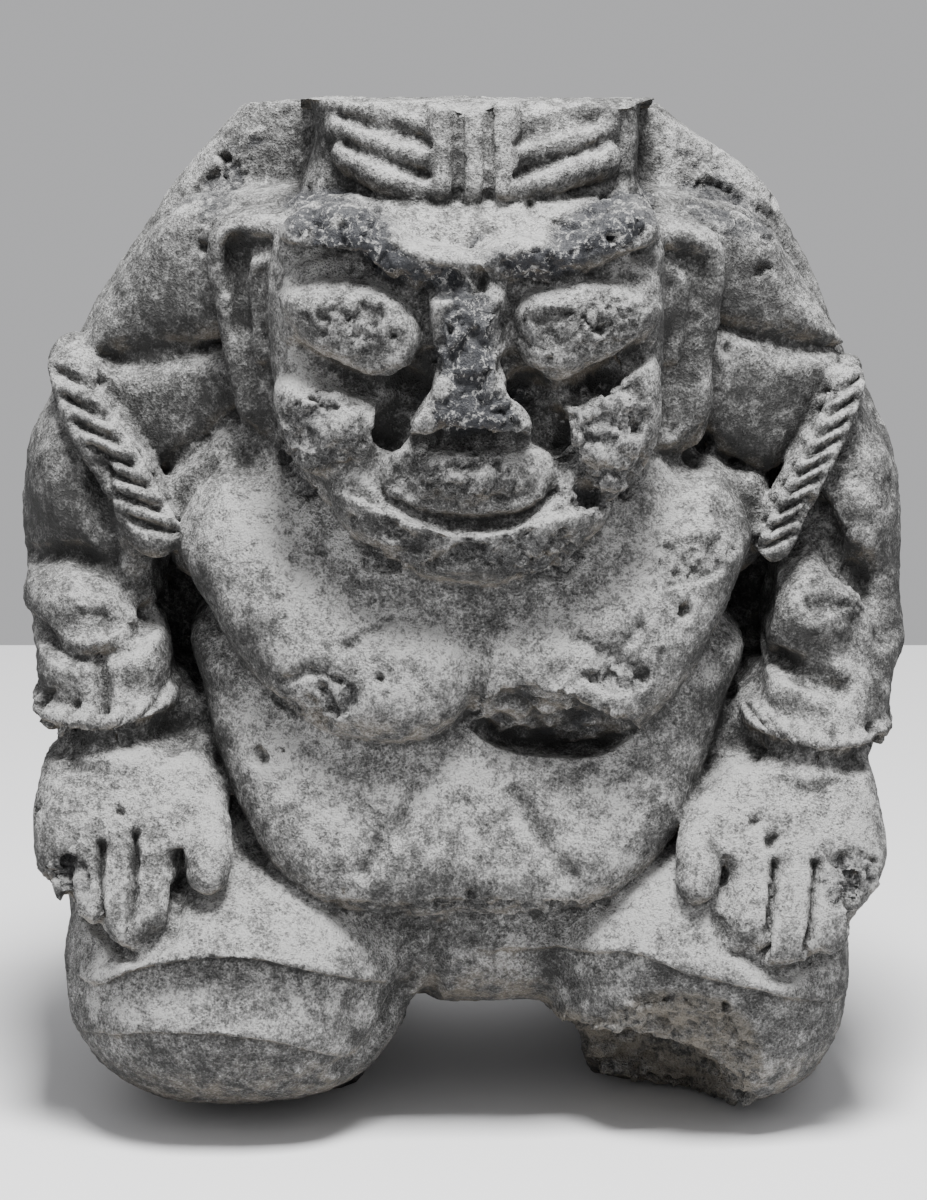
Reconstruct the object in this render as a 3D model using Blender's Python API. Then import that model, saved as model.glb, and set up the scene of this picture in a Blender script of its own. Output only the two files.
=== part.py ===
"""A grey pottery guardian: a squat strongman who kneels with his hands on his knees.

The figure is one piece of fired clay. It is built up as a potter would: big masses first,
then pads and rolls of clay pressed on, then creases cut with a tool. The places and sizes
of its forms are shares of its height. It faces -Y, and its legs stand on the ground.
"""

import math

import bmesh
import bpy
import numpy as np

# Driving dimensions in metres
HEIGHT = 0.305  # from the ground to the front edge of the crown
CLAY_GRAIN = 0.0017  # cell of the skin that joins the pads and rolls
SEAM_GRAIN = 0.0030  # cell of the skin that joins the big masses

# Every place and length below is in shares of the height, 101.8 of them in all
SHARES = 101.8
SHARE = HEIGHT / SHARES
CROWN_EDGE = -13  # depth of the crown's front edge, where it is highest
CROWN_FALL = 0.095  # how much the crown drops for each step back from there
CROWN_SWELL = 0.01  # share of its rise that the pressed crown keeps
MARK_REACH = 1.8  # a tool mark fades out at this many of its half widths
FOLD_EDGE = 1.8  # width of the step at the edge of a cloth fold

FACE_COUNT = 9000  # triangles in the finished solid
BALL_STEPS = 4
SECTION_SIDES = 20
DOME_RINGS = 9
DOME_EDGE = 84  # degrees from the top of a dome to its last ring
CURVE_STEPS = 7
RIM_STEPS = 4
POTTERY_GREY = (0.215, 0.21, 0.2, 1.0)


def clear_scene():
    for old in list(bpy.data.objects):
        bpy.data.objects.remove(old, do_unlink=True)


def smooth_path(points, closed=False, steps=CURVE_STEPS):
    """Points on a smooth curve through the given ones."""
    knots = np.array(points, float)
    count = len(knots)
    if closed:
        knots = np.vstack([knots[-1:], knots, knots[:2]])
        spans = count
    else:
        knots = np.vstack([2 * knots[:1] - knots[1:2], knots, 2 * knots[-1:] - knots[-2:-1]])
        spans = count - 1
    t = np.linspace(0.0, 1.0, steps, endpoint=False)[:, None]
    runs = []
    for i in range(spans):
        a, b, c, d = knots[i : i + 4]
        runs.append(
            0.5 * (2 * b + (c - a) * t + (2 * a - 5 * b + 4 * c - d) * t**2 + (3 * b - a - 3 * c + d) * t**3)
        )
    if not closed:
        runs.append(knots[-2:-1])
    return np.vstack(runs)


def skin(rings, closed=False):
    """Joins rings of points into a tube; an open tube's ends are capped."""
    count, sides = len(rings), len(rings[0])
    faces = []
    for i in range(count if closed else count - 1):
        here, there = i * sides, (i + 1) % count * sides
        for j in range(sides):
            k = (j + 1) % sides
            faces.append((here + j, here + k, there + k, there + j))
    if not closed:
        faces.append(tuple(range(sides))[::-1])
        faces.append(tuple(range((count - 1) * sides, count * sides)))
    return np.concatenate(rings), faces


def ball(centre, radii, turn=0.0, square=2.0):
    """A round lump, turned by turn degrees in the front view, and boxier as square grows."""
    shape = bmesh.new()
    bmesh.ops.create_icosphere(shape, subdivisions=BALL_STEPS, radius=1.0)
    ways = np.array([v.co for v in shape.verts])
    faces = [tuple(v.index for v in f.verts) for f in shape.faces]
    shape.free()
    reach = (np.abs(ways / np.array(radii)) ** square).sum(1) ** (-1.0 / square)
    points = ways * reach[:, None]
    c, s = math.cos(math.radians(turn)), math.sin(math.radians(turn))
    x, z = points[:, 0].copy(), points[:, 2].copy()
    points[:, 0], points[:, 2] = c * x - s * z, s * x + c * z
    return points + np.array(centre), faces


def roll(path, radii, flat=1.0, closed=False):
    """A roll of clay along a smooth path. Its depth is flat times its width, and its ends are round."""
    radii = np.array(radii, float) * np.ones(len(path))
    line = smooth_path(np.column_stack([np.array(path, float), radii]), closed)
    spine, size = line[:, :3], line[:, 3]
    along = np.gradient(spine, axis=0)
    if closed:
        along = np.roll(spine, -1, axis=0) - np.roll(spine, 1, axis=0)
    along /= np.linalg.norm(along, axis=1)[:, None]
    if not closed:
        swing = np.radians([90, 60, 30])
        first = [spine[0] - along[0] * size[0] * math.sin(a) for a in swing]
        last = [spine[-1] + along[-1] * size[-1] * math.sin(a) for a in swing[::-1]]
        spine = np.vstack([first, spine, last])
        thin = np.maximum(np.cos(swing), 0.08)
        size = np.concatenate([size[0] * thin, size, size[-1] * thin[::-1]])
        along = np.vstack([along[:1]] * 3 + [along] + [along[-1:]] * 3)
    side = np.cross(along, [0.0, 1.0, 0.0])
    head_on = np.linalg.norm(side, axis=1) < 0.2
    side[head_on] = np.cross(along[head_on], [0.0, 0.0, 1.0])
    side /= np.linalg.norm(side, axis=1)[:, None]
    other = np.cross(side, along)
    angle = np.linspace(0, 2 * math.pi, SECTION_SIDES, endpoint=False)
    rings = [
        p + r * (np.cos(angle)[:, None] * a + flat * np.sin(angle)[:, None] * b)
        for p, r, a, b in zip(spine, size, side, other)
    ]
    return skin(rings, closed)


def pad(outline, edge, rise, back, square=2.4, lean=(0.0, 0.0)):
    """A pad of clay that swells towards the front out of an outline of (x, z) points.

    edge is the depth of its rim, rise its swelling, and back the depth that it is sunk to.
    lean is how much deeper it lies for each step to the right and up.
    """
    rim = smooth_path([(x, 0.0, z) for x, z in outline], closed=True, steps=RIM_STEPS)
    middle = rim.mean(axis=0)
    rings = []
    for turn in np.radians(np.linspace(DOME_EDGE, 0, DOME_RINGS)):
        ring = middle + (rim - middle) * math.cos(turn) ** (2 / square)
        tilt = (ring[:, 0] - middle[0]) * lean[0] + (ring[:, 2] - middle[2]) * lean[1]
        ring[:, 1] = edge + tilt - rise * math.sin(turn) ** (2 / square)
        rings.append(ring)
    sunk = rings[-1].copy()
    sunk[:, 1] = back
    rings.append(sunk)
    return skin(rings)


def slab(outline, middle, front, back):
    """A thick plate that swells from its rim to the front and back; each is a (rise, square) pair."""
    rim = smooth_path([(x, middle, z) for x, z in outline], closed=True, steps=RIM_STEPS)
    centre = rim.mean(axis=0)
    rings = []
    for turn in np.radians(np.linspace(-DOME_EDGE, DOME_EDGE, 2 * DOME_RINGS)):
        rise, square = back if turn > 0 else front
        ring = centre + (rim - centre) * math.cos(turn) ** (2 / square)
        ring[:, 1] = middle + math.copysign(rise, turn) * abs(math.sin(turn)) ** (2 / square)
        rings.append(ring)
    return skin(rings)


def torso():
    """The humped back with its flat top, the shoulders, the waist and the chest."""
    back = [
        (-19.5, 102), (-10, 103), (6, 103), (16.5, 102), (21, 98.4), (29.4, 92.6), (33, 87.4), (37.4, 78),
        (39.4, 72), (41, 60), (40.4, 48), (39, 36), (38, 24), (34, 10), (0, 9), (-34, 10), (-38.5, 24),
        (-39, 36), (-40.6, 48), (-41.4, 60), (-40, 74), (-36.2, 81.8), (-31, 89), (-27.6, 93.6),
    ]
    return [
        slab(back, 6, (7, 3.2), (19, 2.5)),
        ball((0, -4, 60), (29, 13, 16)),
        ball((0, -3, 36), (25, 16, 16), square=2.3),
        ball((-30, -3, 35), (9.4, 13, 10), square=2.3),
        ball((30, -3, 35), (9.4, 13, 10), square=2.3),
        ball((-14, 12, 66), (19, 15.4, 24), turn=14),
        ball((14, 12, 66), (19, 15.4, 24), turn=-14),
        ball((0, 10, 30), (33, 17, 16), square=2.4),
    ]


def legs():
    """Folded legs that run from the knees back to the feet."""
    return [
        ball((-22.6, -9.5, 14.6), (17.6, 18.5, 13.6), square=2.45),
        ball((23.6, -8, 15), (15.4, 18.5, 14.6), square=2.6),
        ball((-26.6, -1, 22), (14.2, 20, 13)),
        ball((26.6, -1, 22), (13.2, 20, 13)),
        ball((-21, 10, 7), (15.5, 18, 9.6), square=2.9),
        ball((22.5, 10, 7), (15.5, 18, 9.6), square=2.9),
        ball((-22, 0, 3), (13.4, 11.4, 4.6), square=3),
        ball((28, 2, 3), (9.6, 9.6, 4.6), square=3),
        ball((-14, 23, 5.4), (7.4, 6, 5.8), turn=20),
        ball((15.5, 23, 5.4), (7.4, 6, 5.8), turn=-20),
        ball((0, 0, 20), (20, 19, 10), square=3.2),
    ]


def arms():
    left = [
        roll([(-35, 5, 69), (-37.6, 1, 62), (-37, -5, 52), (-35.8, -11, 44), (-33.8, -15, 37)],
             [7, 7, 6.8, 6.2, 6]),
        ball((-38.6, -1.5, 62), (5.4, 9.5, 9.6), turn=2, square=2.2),
        ball((-37.2, -1, 70.6), (4, 7.4, 6.4), turn=-20),
        ball((-33.6, -7, 58.6), (4.4, 7, 7), turn=20),
        ball((-36.8, -7, 51.6), (7.4, 9, 4.4), turn=-4, square=2.2),
        ball((-38.6, -11, 46), (3.9, 6.8, 4.6), square=2.3),
        ball((-32.4, -11, 46.2), (3.4, 6.8, 4.6), square=2.3),
        ball((-35.6, -11.4, 46.6), (4, 6.4, 5)),
    ]
    right = [
        roll([(34.6, 5, 69), (37.2, 1, 62), (37.2, -5, 52), (36.2, -11, 43), (33.6, -15, 36)],
             [7, 7, 6.8, 6.4, 6.2]),
        ball((38.8, -1.5, 59.4), (5, 9.5, 9.6), turn=2, square=2.2),
        ball((36.8, -1, 68.4), (4, 7.4, 7), turn=20),
        ball((34.6, -8.5, 50.8), (5.4, 8.4, 6.4), turn=-24, square=2.2),
        ball((40, -6, 47.4), (4.2, 8.4, 6), turn=-10),
        ball((32.8, -13.4, 43.9), (3.1, 5.4, 2.8), square=2.3),
    ]
    return left + right


def head():
    """The head, a squared block that stands forward of the shoulders, and its narrower crown."""
    face_outline = [
        (-14.6, 92.6), (-17.2, 91), (-18.4, 87.6), (-18.8, 82), (-18.4, 75), (-17.4, 69.5), (-15.4, 65.2),
        (-12.4, 62), (-8.5, 59), (-4, 56.8), (1, 56), (5.8, 56.2), (9.4, 58), (13, 61.2), (16, 65.2),
        (18.4, 69.8), (19.3, 76), (19.4, 83), (19.2, 88), (18, 91), (15.6, 92.6), (0, 93),
    ]
    crown = [
        (-14, 107), (-14.2, 99), (-15.4, 94.5), (-16.4, 90), (-15, 80), (0, 76), (16, 80), (17.4, 90),
        (16.6, 94.5), (16.4, 99), (16.4, 107),
    ]
    left_lobe = [(-13.6, 107), (-14.4, 98), (-13.4, 92), (-10.6, 94), (-9.4, 99), (-10, 107)]
    right_lobe = [(16.2, 107), (17, 97), (16, 92), (14, 94), (13, 99), (13, 107)]
    return [
        pad(face_outline, -14, 9.4, 4, square=4.4),
        pad(crown, -8, 8, 6, square=4, lean=(0, 0.2)),
        pad(left_lobe, -10, 4, 0, lean=(0, 0.2)),
        pad(right_lobe, -10, 3.4, 0, lean=(0, 0.2)),
    ]


def shoulder_pads():
    """Three overlapping folds of flesh on each shoulder, each tucked under the one above."""
    left = [
        pad([(-37.6, 78), (-35.4, 82), (-31, 88), (-27, 91), (-20, 92), (-16, 92), (-18, 86), (-21.5, 78.5),
             (-30, 76.2), (-38, 75.2)], -3, 6.2, 8, square=3.4, lean=(-0.3, 0.06)),
        pad([(-37.6, 74.6), (-30.5, 75.2), (-22, 77), (-20, 74), (-23, 70), (-30, 64.4), (-33.6, 67),
             (-36.6, 71)], -4.6, 4.8, 8, square=3.4, lean=(-0.34, 0.0)),
        pad([(-29.6, 63.8), (-26, 67), (-22, 70.4), (-14, 68), (-14, 60), (-22, 54.5), (-28, 54),
             (-29.6, 58)], -8, 5, 8, square=3.2, lean=(-0.3, 0.0)),
    ]
    right = [
        pad([(17, 92), (24, 91), (29.6, 88.8), (33, 84), (37, 78), (37.6, 76.4), (31, 77.4),
            (24.5, 79.4), (22, 86)],
            -3, 6.2, 8, square=3.4, lean=(0.3, 0.06)),
        pad([(24.4, 78.8), (31, 76.8), (37.4, 75.6), (35.6, 70.4), (31, 64.4), (27, 65.6), (23.4, 68.4),
            (23.4, 74)],
            -4.6, 5.2, 8, square=3.6, lean=(0.34, 0.0)),
        pad([(22.6, 67.4), (26.6, 65), (30.4, 63.4), (30, 56), (24, 53.5), (14, 58), (14, 66)],
            -8, 4.6, 8, square=3, lean=(0.3, 0.0)),
    ]
    under = [
        ball((-28, 0, 76), (9, 7.6, 4.6)),
        ball((28, 0, 77), (9, 7.6, 4.6)),
        ball((-24, -2, 66), (8, 8, 5)),
    ]
    return left + right + under


def breasts_and_belly():
    left = [
        (-28, 60), (-27.2, 56), (-24.6, 51.6), (-21.6, 47.4), (-18, 43.8), (-14.4, 41.4), (-10.6, 40.3),
        (-5.6, 40.2), (-2, 41), (1.4, 43.6), (5, 49), (8, 58), (2, 66), (-12, 68), (-24, 66),
    ]
    right = [
        (28.2, 60), (27.6, 56.4), (25.4, 51.5), (23, 47.4), (20.2, 43.8), (16.6, 41), (12.4, 39.8),
        (8, 40), (3.6, 41.2), (0.6, 43.6), (-3, 49), (-6, 58), (0, 66), (12, 68), (24, 66),
    ]
    belly = [
        (-26.6, 50), (-26, 44), (-24.4, 38), (-22.6, 33.4), (-20, 28.6), (-16.6, 25.4), (-12, 23.4),
        (-5, 22.7), (3, 22.6), (9.6, 22.8), (14, 24.2), (18.4, 27.2), (21.8, 31.4), (24.2, 37),
        (26.2, 43.4), (27.2, 49), (16, 56), (-16, 56),
    ]
    return [
        pad(left, -13, 11.4, 4, square=3.4, lean=(-0.08, 0.32)),
        pad(right, -13, 11.4, 4, square=3.4, lean=(0.08, 0.32)),
        pad(belly, -12, 12, 6, square=3.6, lean=(0, 0.34)),
    ]


def face():
    """Heavy brows, bulging eyes, a broad broken nose, full cheeks and a pushed-out mouth."""
    left_brow = [
        (-17.4, 90.6), (-15.4, 92.2), (-12.4, 93), (-9, 92.8), (-6.4, 91), (-4, 89.4), (-1, 88.8),
        (1.4, 88), (0.6, 85.6), (-3, 84.9), (-6.2, 85.8), (-8.8, 87.6), (-12, 88.8), (-15.2, 89.2),
        (-17.2, 89.2),
    ]
    right_brow = [
        (-0.4, 87.6), (2.6, 89.6), (5.6, 90), (8.6, 89.6), (11.6, 91), (14, 92.4), (16.8, 92.6),
        (18.4, 91), (18, 89), (15.4, 88.2), (12.4, 86.8), (9, 85.5), (5.6, 85.8), (2, 85.8),
    ]
    left_eye = [
        (-16.8, 84), (-14.7, 85.2), (-10.4, 85.7), (-6.8, 84.6), (-4.3, 82), (-3.9, 79.6), (-5, 77.6),
        (-7.4, 76.8), (-10.4, 77.6), (-13.6, 79.6), (-15.8, 81.8),
    ]
    right_eye = [
        (5.3, 83.4), (7.4, 85), (10, 85.6), (14, 85.6), (17, 84.2), (18.6, 82.4), (15.8, 79.8),
        (12, 77.9), (8.9, 76.6), (6.3, 77.8), (4.9, 80.4),
    ]
    nose_shape = [
        (-2.8, 86.5), (-3.1, 82), (-3, 78.6), (-3.6, 75.8), (-5.4, 73), (-6, 71.4), (-4.4, 70.8),
        (-1.6, 71.4), (1.4, 71), (5, 71.2), (7, 71), (7.3, 72.6), (5.6, 75.4), (4.2, 78), (3.8, 82),
        (3.6, 86.5),
    ]
    cheeks = [
        pad([(-17.8, 76), (-13, 76), (-9.4, 75.2), (-7.6, 73.4), (-7.4, 71), (-9, 68.6), (-12.6, 67),
             (-16, 67.6), (-17.8, 71)], -21, 6.2, -12, square=3.4, lean=(-0.12, 0)),
        pad([(9, 73.6), (11.2, 76), (14.4, 77.8), (18.2, 78.4), (18.8, 73), (17.6, 68), (14.4, 64.6),
             (11.4, 65.6), (9.2, 69)], -21, 6.2, -12, square=3.4, lean=(0.12, 0)),
    ]
    lip = [
        (-7.2, 66.8), (-4.8, 69.2), (-1.6, 70.9), (2, 71.4), (5.2, 70.6), (8, 67.4), (7.2, 65.6),
        (4.6, 64.4), (1, 63.8), (-2.8, 64.2), (-5.6, 65.3),
    ]
    chin = [
        (-13, 66), (-10.6, 64.6), (-8.2, 63.6), (-5, 62.8), (-1, 62.4), (3, 62.4), (7, 62.8), (10, 63.6),
        (12.4, 64.6), (14.6, 64), (12.8, 61), (9.4, 58), (5.8, 56.4), (1, 56), (-4, 56.8), (-8.5, 59),
        (-11.8, 62),
    ]
    middle = [(-16, 87), (-16.6, 76), (-13, 66), (0, 64), (13, 66), (17.4, 76), (17.4, 87), (0, 88)]
    muzzle = [(-9.4, 71), (0, 74), (10.4, 71), (13.4, 66), (10, 61), (0, 59), (-9, 61), (-13.4, 66.4)]
    return cheeks + [
        pad(left_brow, -20.6, 7.6, -12, square=3, lean=(-0.1, 0)),
        pad(right_brow, -20.6, 7.4, -12, square=3, lean=(0.1, 0)),
        pad(left_eye, -21, 7, -14, square=3.4, lean=(-0.12, 0)),
        pad(right_eye, -21, 7, -14, square=3.4, lean=(0.12, 0)),
        pad(nose_shape, -21, 8.4, -14, square=4.4, lean=(0, 0.1)),
        pad(middle, -21, 3.8, -12, square=5),
        pad(muzzle, -18, 8.6, -12, square=4),
        pad(lip, -21, 7.2, -14, square=2.8),
        pad(chin, -20, 8, -12, square=3.2, lean=(0, -0.12)),
    ]


def ears():
    """Long flat ears, each with a rim and an inner ridge."""
    left = [(-24.8, 88), (-23.4, 90.4), (-16, 90.8), (-13, 82), (-14.5, 68.6), (-20, 68.6), (-22, 72),
            (-23, 79), (-24.4, 85)]
    left_rim = [(-17.6, -15.4, 89.8), (-22.2, -14.4, 89.4), (-23.8, -13.6, 86.6), (-23, -13.4, 81.5),
                (-22.2, -13.4, 76.5), (-21, -13.4, 71)]
    left_ridge = [(-17.6, -15.6, 86.2), (-20.6, -15, 85.6), (-20.6, -14.6, 81.6), (-19.6, -14.4, 77)]
    right = [(16, 90), (23, 89.6), (25.4, 87), (25, 82), (24.2, 77), (24, 70.4), (22.4, 67.2),
             (15.6, 67), (13.5, 80)]
    right_rim = [(18.6, -15.4, 89), (22.6, -14.4, 88.2), (24.2, -13.6, 85.8), (23.8, -13.4, 81),
                 (23, -13.4, 76), (22.8, -13.4, 71), (20.6, -14, 68.4)]
    right_ridge = [(18.6, -15.6, 85.6), (20.8, -15, 84.6), (21, -14.6, 81.6), (20.2, -14.4, 77)]
    return [
        pad(left, -11.8, 2.4, 4, square=6),
        roll(left_rim, 1.2),
        roll(left_ridge, 0.8),
        ball((-18, -12.5, 84), (3.4, 3.4, 6.6)),
        pad(right, -11.8, 2.4, 4, square=6),
        roll(right_rim, 1.2),
        roll(right_ridge, 0.8),
        ball((19, -12.5, 83), (3.4, 3.4, 6.6)),
    ]


def hair_bow():
    """The hair, tied over the brow in a knot with a looped band on each side."""
    knot = [(-3.4, 107), (-3.4, 98), (-2.8, 93.4), (0.8, 92.6), (4.4, 93.4), (5, 98), (5, 107)]
    under = [(-13.4, 107), (-13, 98), (-10, 94), (0, 92.4), (10, 94), (14, 96), (14.4, 107)]
    shapes = [
        pad(knot, -12.6, 6.2, 0, square=4.4, lean=(0, 0.2)),
        pad(under, -10.6, 5.8, 0, square=4, lean=(0, 0.2)),
    ]
    for x, bottom in ((-2, 94), (0.9, 93.8), (3.8, 94)):
        shapes.append(roll([(x, -17, 104), (x, -18.4, 99), (x, -19.5, bottom)], 1.2))
    for outer, middle, inner, width in (
        ((-11.8, -13, 101.6), (-7.2, -15.6, 100.4), (-3, -17, 99.6), 1.2),
        ((-11.8, -14, 99.2), (-7.2, -16.8, 97.7), (-3.2, -18, 96.6), 1.35),
        ((-11.2, -15, 96.6), (-7.4, -17.8, 94.8), (-4, -18.6, 93.6), 1.5),
        ((12, -13, 101.6), (8, -15.6, 100.4), (4.6, -17, 99.6), 1.2),
        ((13.4, -14, 99), (9, -16.8, 98), (4.8, -18, 96.8), 1.35),
        ((13.4, -15, 96.2), (9, -17.8, 95), (5, -18.6, 93.6), 1.5),
    ):
        shapes.append(roll([outer, middle, inner], [width, width, 0.85 * width]))
    return shapes


def rope(points, count, slant, width):
    """A twisted cord pressed on as a row of short slanting strands."""
    line = smooth_path(points)
    along = np.linspace(0, len(line) - 1, count)
    centres = np.column_stack([np.interp(along, range(len(line)), line[:, i]) for i in range(3)])
    strands = [ball(centre, (width, 1.8, 0.95), turn=slant) for centre in centres]
    bed = roll([(x, y + 3.6, z) for x, y, z in points[1:]], 1.3 * width)
    return strands + [bed]


def armlets():
    left = [(-38.2, -6.6, 75.4), (-36, -10, 70.4), (-33.4, -12.4, 64.6), (-30.6, -13.4, 57.8)]
    right = [(38, -6.6, 74.2), (36, -10, 69.2), (33.4, -12.4, 63.4), (31, -13.4, 57.4)]
    return rope(left, 10, -13, 2.5) + rope(right, 10, 16, 2.5)


def bracelets():
    """A twisted ring above each wrist."""
    rings = []
    for centre, radii, tilt in (
        ((-35.4, -11, 42.8), (5.6, 8.0), 0.5),
        ((34.8, -11.4, 40.9), (5.9, 8.0), -0.9),
    ):
        path = []
        for angle in np.linspace(0, 2 * math.pi, 12, endpoint=False):
            x, y = math.cos(angle) * radii[0], math.sin(angle) * radii[1]
            path.append((centre[0] + x, centre[1] + y, centre[2] + tilt * x / radii[0] + 0.2 * y))
        rings.append(roll(path, 1.7, closed=True))
    return rings


def hands():
    """Hands pressed flat on the knees, fingers down, the thumbs apart."""
    left = [
        (-40.5, 37.8), (-34, 39.4), (-27, 38.4), (-24.4, 36), (-23.2, 33.2), (-24, 31.2),
        (-27.2, 30.2), (-28, 26), (-28.4, 23), (-30, 22.2), (-31.8, 21), (-33.4, 20.8), (-35, 21.8),
        (-36.8, 22.6), (-39, 23.8), (-40.8, 25.2), (-42, 27.4), (-42.6, 31), (-42, 35),
    ]
    right = [
        (27.4, 37.8), (33, 38.6), (39.2, 37.8), (40.8, 34.6), (41.6, 30.6), (41.8, 27.8), (40.6, 25.2),
        (38.8, 23.4), (38, 21), (36.6, 19.2), (34.4, 19.2), (32.4, 18.6), (29.8, 18.8), (28.2, 20.2),
        (26, 21), (25.2, 23), (25.4, 27), (24.2, 29.4), (21.8, 30.6), (22, 33), (24.4, 35.6),
    ]
    return [
        pad(left, -16, 8.6, -10, square=4.4, lean=(-0.06, 0.42)),
        roll([(-25.8, -19, 33.6), (-25, -22, 31), (-24.9, -24.2, 27.9)], [2.2, 2.3, 2.1]),
        pad(right, -16, 8.6, -10, square=4.4, lean=(0.06, 0.42)),
        roll([(24.6, -19, 32.6), (23.2, -22, 30), (22.8, -24.2, 26.8)], [2.2, 2.3, 2.1]),
    ]


def gaps():
    """What is cut away: the arch between the legs, the broken knee and the hollows inside the arms."""
    arch = [
        (-10.6, -6), (-9.8, 3), (-7.6, 7.6), (-4, 10), (1, 10.6), (6, 10.8), (9.6, 9.6), (11.6, 6.8),
        (12.2, 3), (12.6, -6),
    ]
    return [
        slab(arch, 0, (60, 12), (60, 12)),
        ball((15, -28, -0.4), (13, 19, 11.4), turn=-12, square=2.8),
        ball((20, -38, 5.4), (12.6, 16.4, 12.6), square=2.2),
        ball((-27.4, -10, 50.4), (2.5, 8, 8.2), turn=14, square=2.4),
        ball((27.8, -10, 49.6), (2.7, 8, 8.2), turn=-12, square=2.4),
    ]


def chips():
    """The old break along the lower edge of the right breast."""
    outline = [
        (0.2, 42.6), (2, 45), (4, 46.6), (6.2, 46.9), (9.8, 46.2), (13.8, 44.4), (17.4, 42), (16, 40.2),
        (13, 38.9), (9.4, 38.7), (5, 39.1), (1.8, 40.4),
    ]
    return [pad(outline, -22.6, -1.6, -40, square=2.6, lean=(0, -0.95))]


def joined(shapes):
    """A mesh in metres that holds all the shapes, each with its faces turned outward."""
    mesh = bpy.data.meshes.new("clay")
    points, faces, start = [], [], 0
    for shape_points, shape_faces in shapes:
        points.append(shape_points * SHARE)
        faces += [tuple(i + start for i in f) for f in shape_faces]
        start += len(shape_points)
    mesh.from_pydata(np.concatenate(points).tolist(), [], faces)
    outside = bmesh.new()
    outside.from_mesh(mesh)
    bmesh.ops.recalc_face_normals(outside, faces=outside.faces)
    outside.to_mesh(mesh)
    outside.free()
    return mesh


def fused(shapes, cell, rounds):
    """One closed skin over all the shapes, with the seams between them rubbed smooth."""
    lump = bpy.data.objects.new("clay", joined(shapes))
    bpy.context.scene.collection.objects.link(lump)
    join = lump.modifiers.new("one skin", "REMESH")
    join.mode = "VOXEL"
    join.voxel_size = cell
    rub = lump.modifiers.new("rubbed", "SMOOTH")
    rub.factor = 0.5
    rub.iterations = rounds
    return settled(lump)


def settled(lump):
    """The object's mesh with its modifiers put through; the object goes."""
    graph = bpy.context.evaluated_depsgraph_get()
    mesh = bpy.data.meshes.new_from_object(lump.evaluated_get(graph))
    old = lump.data
    bpy.data.objects.remove(lump)
    bpy.data.meshes.remove(old)
    return mesh


def carved(mesh, cutters):
    """The mesh with the cutters' volumes taken away."""
    body = bpy.data.objects.new("body", mesh)
    knife = bpy.data.objects.new("knife", fused(cutters, SEAM_GRAIN, 1))
    for item in (body, knife):
        bpy.context.scene.collection.objects.link(item)
    cut = body.modifiers.new("cut away", "BOOLEAN")
    cut.object = knife
    cut.operation = "DIFFERENCE"
    cut.solver = "EXACT"
    result = settled(body)
    bpy.data.objects.remove(knife)
    return result


def vertex_array(mesh, name):
    """A vertex property of the mesh, such as its places, as rows of x, y, z."""
    values = np.empty(len(mesh.vertices) * 3, np.float32)
    mesh.vertices.foreach_get(name, values)
    return values.reshape(-1, 3).astype(float)


def as_shape(mesh):
    return vertex_array(mesh, "co") / SHARE, [tuple(p.vertices) for p in mesh.polygons]


def creases():
    """Tool marks as (depth, half width, path of (x, z)); a depth below zero raises a ridge."""
    marks = []
    for path in (
        [(-32, 30.8), (-32.1, 27), (-32.3, 22.8)],
        [(-35.3, 30.4), (-35.4, 27), (-35.4, 23.4)],
        [(-38.6, 29), (-38.7, 27), (-38.9, 25)],
        [(30.4, 28), (30, 25), (29.2, 21)],
        [(34.3, 28), (34, 25), (33.4, 21)],
        [(37.9, 26.6), (37.8, 25), (37.8, 23)],
    ):
        marks.append((1.4, 0.6, path))
    marks += [
        (1.1, 0.8, [(-15.8, 79), (-12, 76.7), (-8, 75.6), (-4.6, 76.2), (-3.3, 78.6)]),
        (1.1, 0.8, [(4.3, 78.2), (5.8, 76), (9, 75.2), (13, 76.6), (17, 79)]),
        (2.2, 1.1, [(-5, 76), (-6.4, 73.6), (-7, 71.2)]),
        (2.2, 1.1, [(6, 76), (7.8, 73.6), (8.4, 71)]),
        (1.2, 0.9, [(-7.4, 70.2), (-8.4, 67.8), (-8, 66.2)]),
        (1.2, 0.9, [(9.2, 69.6), (9.4, 67.6), (8.6, 66)]),
        (1.0, 0.7, [(-7, 65), (-3.6, 63.6), (1, 63), (5.4, 63.6), (8.4, 65.2)]),
        (0.9, 0.9, [(-4.8, 70.4), (0.6, 70.6), (6.6, 70.4)]),
        (0.9, 0.6, [(-11.4, 97.9), (-7.2, 96.2), (-3.6, 95.1)]),
        (0.9, 0.6, [(-11.8, 100.4), (-7.2, 99.1), (-3.4, 98.1)]),
        (0.9, 0.6, [(13, 97.6), (9, 96.5), (5.2, 95.2)]),
        (0.9, 0.6, [(12.8, 100.3), (9, 99.2), (5.2, 98.2)]),
        (0.9, 0.5, [(-0.5, 102), (-0.5, 93.6)]),
        (0.9, 0.5, [(2.4, 102), (2.4, 93.6)]),
        (0.8, 1.2, [(0.9, 47), (1, 42.6)]),
        (1.1, 0.9, [(-44, 56), (-40, 57), (-35.6, 56)]),
        (1.2, 1.0, [(-35.6, 66), (-36, 61), (-34.6, 57)]),
        (1.0, 0.9, [(-35.6, 49), (-35.5, 44.6)]),
        (1.2, 1.0, [(-43, 48.8), (-39, 47.6), (-34, 49)]),
        (1.4, 1.1, [(34.8, 61), (36.6, 57.4), (40.6, 54), (42.4, 49)]),
        (1.2, 1.0, [(30.6, 47), (34, 45.8), (37, 44.4)]),
        (1.0, 0.9, [(-22, 88.2), (-21.6, 80)]),
        (0.9, 0.9, [(-5.2, 21), (-5.8, 15), (-9, 9.6), (-12, 7.4)]),
        (0.9, 0.9, [(-2.4, 20.6), (-3, 14), (-4.6, 10.4)]),
        (0.8, 1.2, [(-41, 38.6), (-34, 39.8), (-27.4, 39.4)]),
    ]
    return marks


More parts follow.
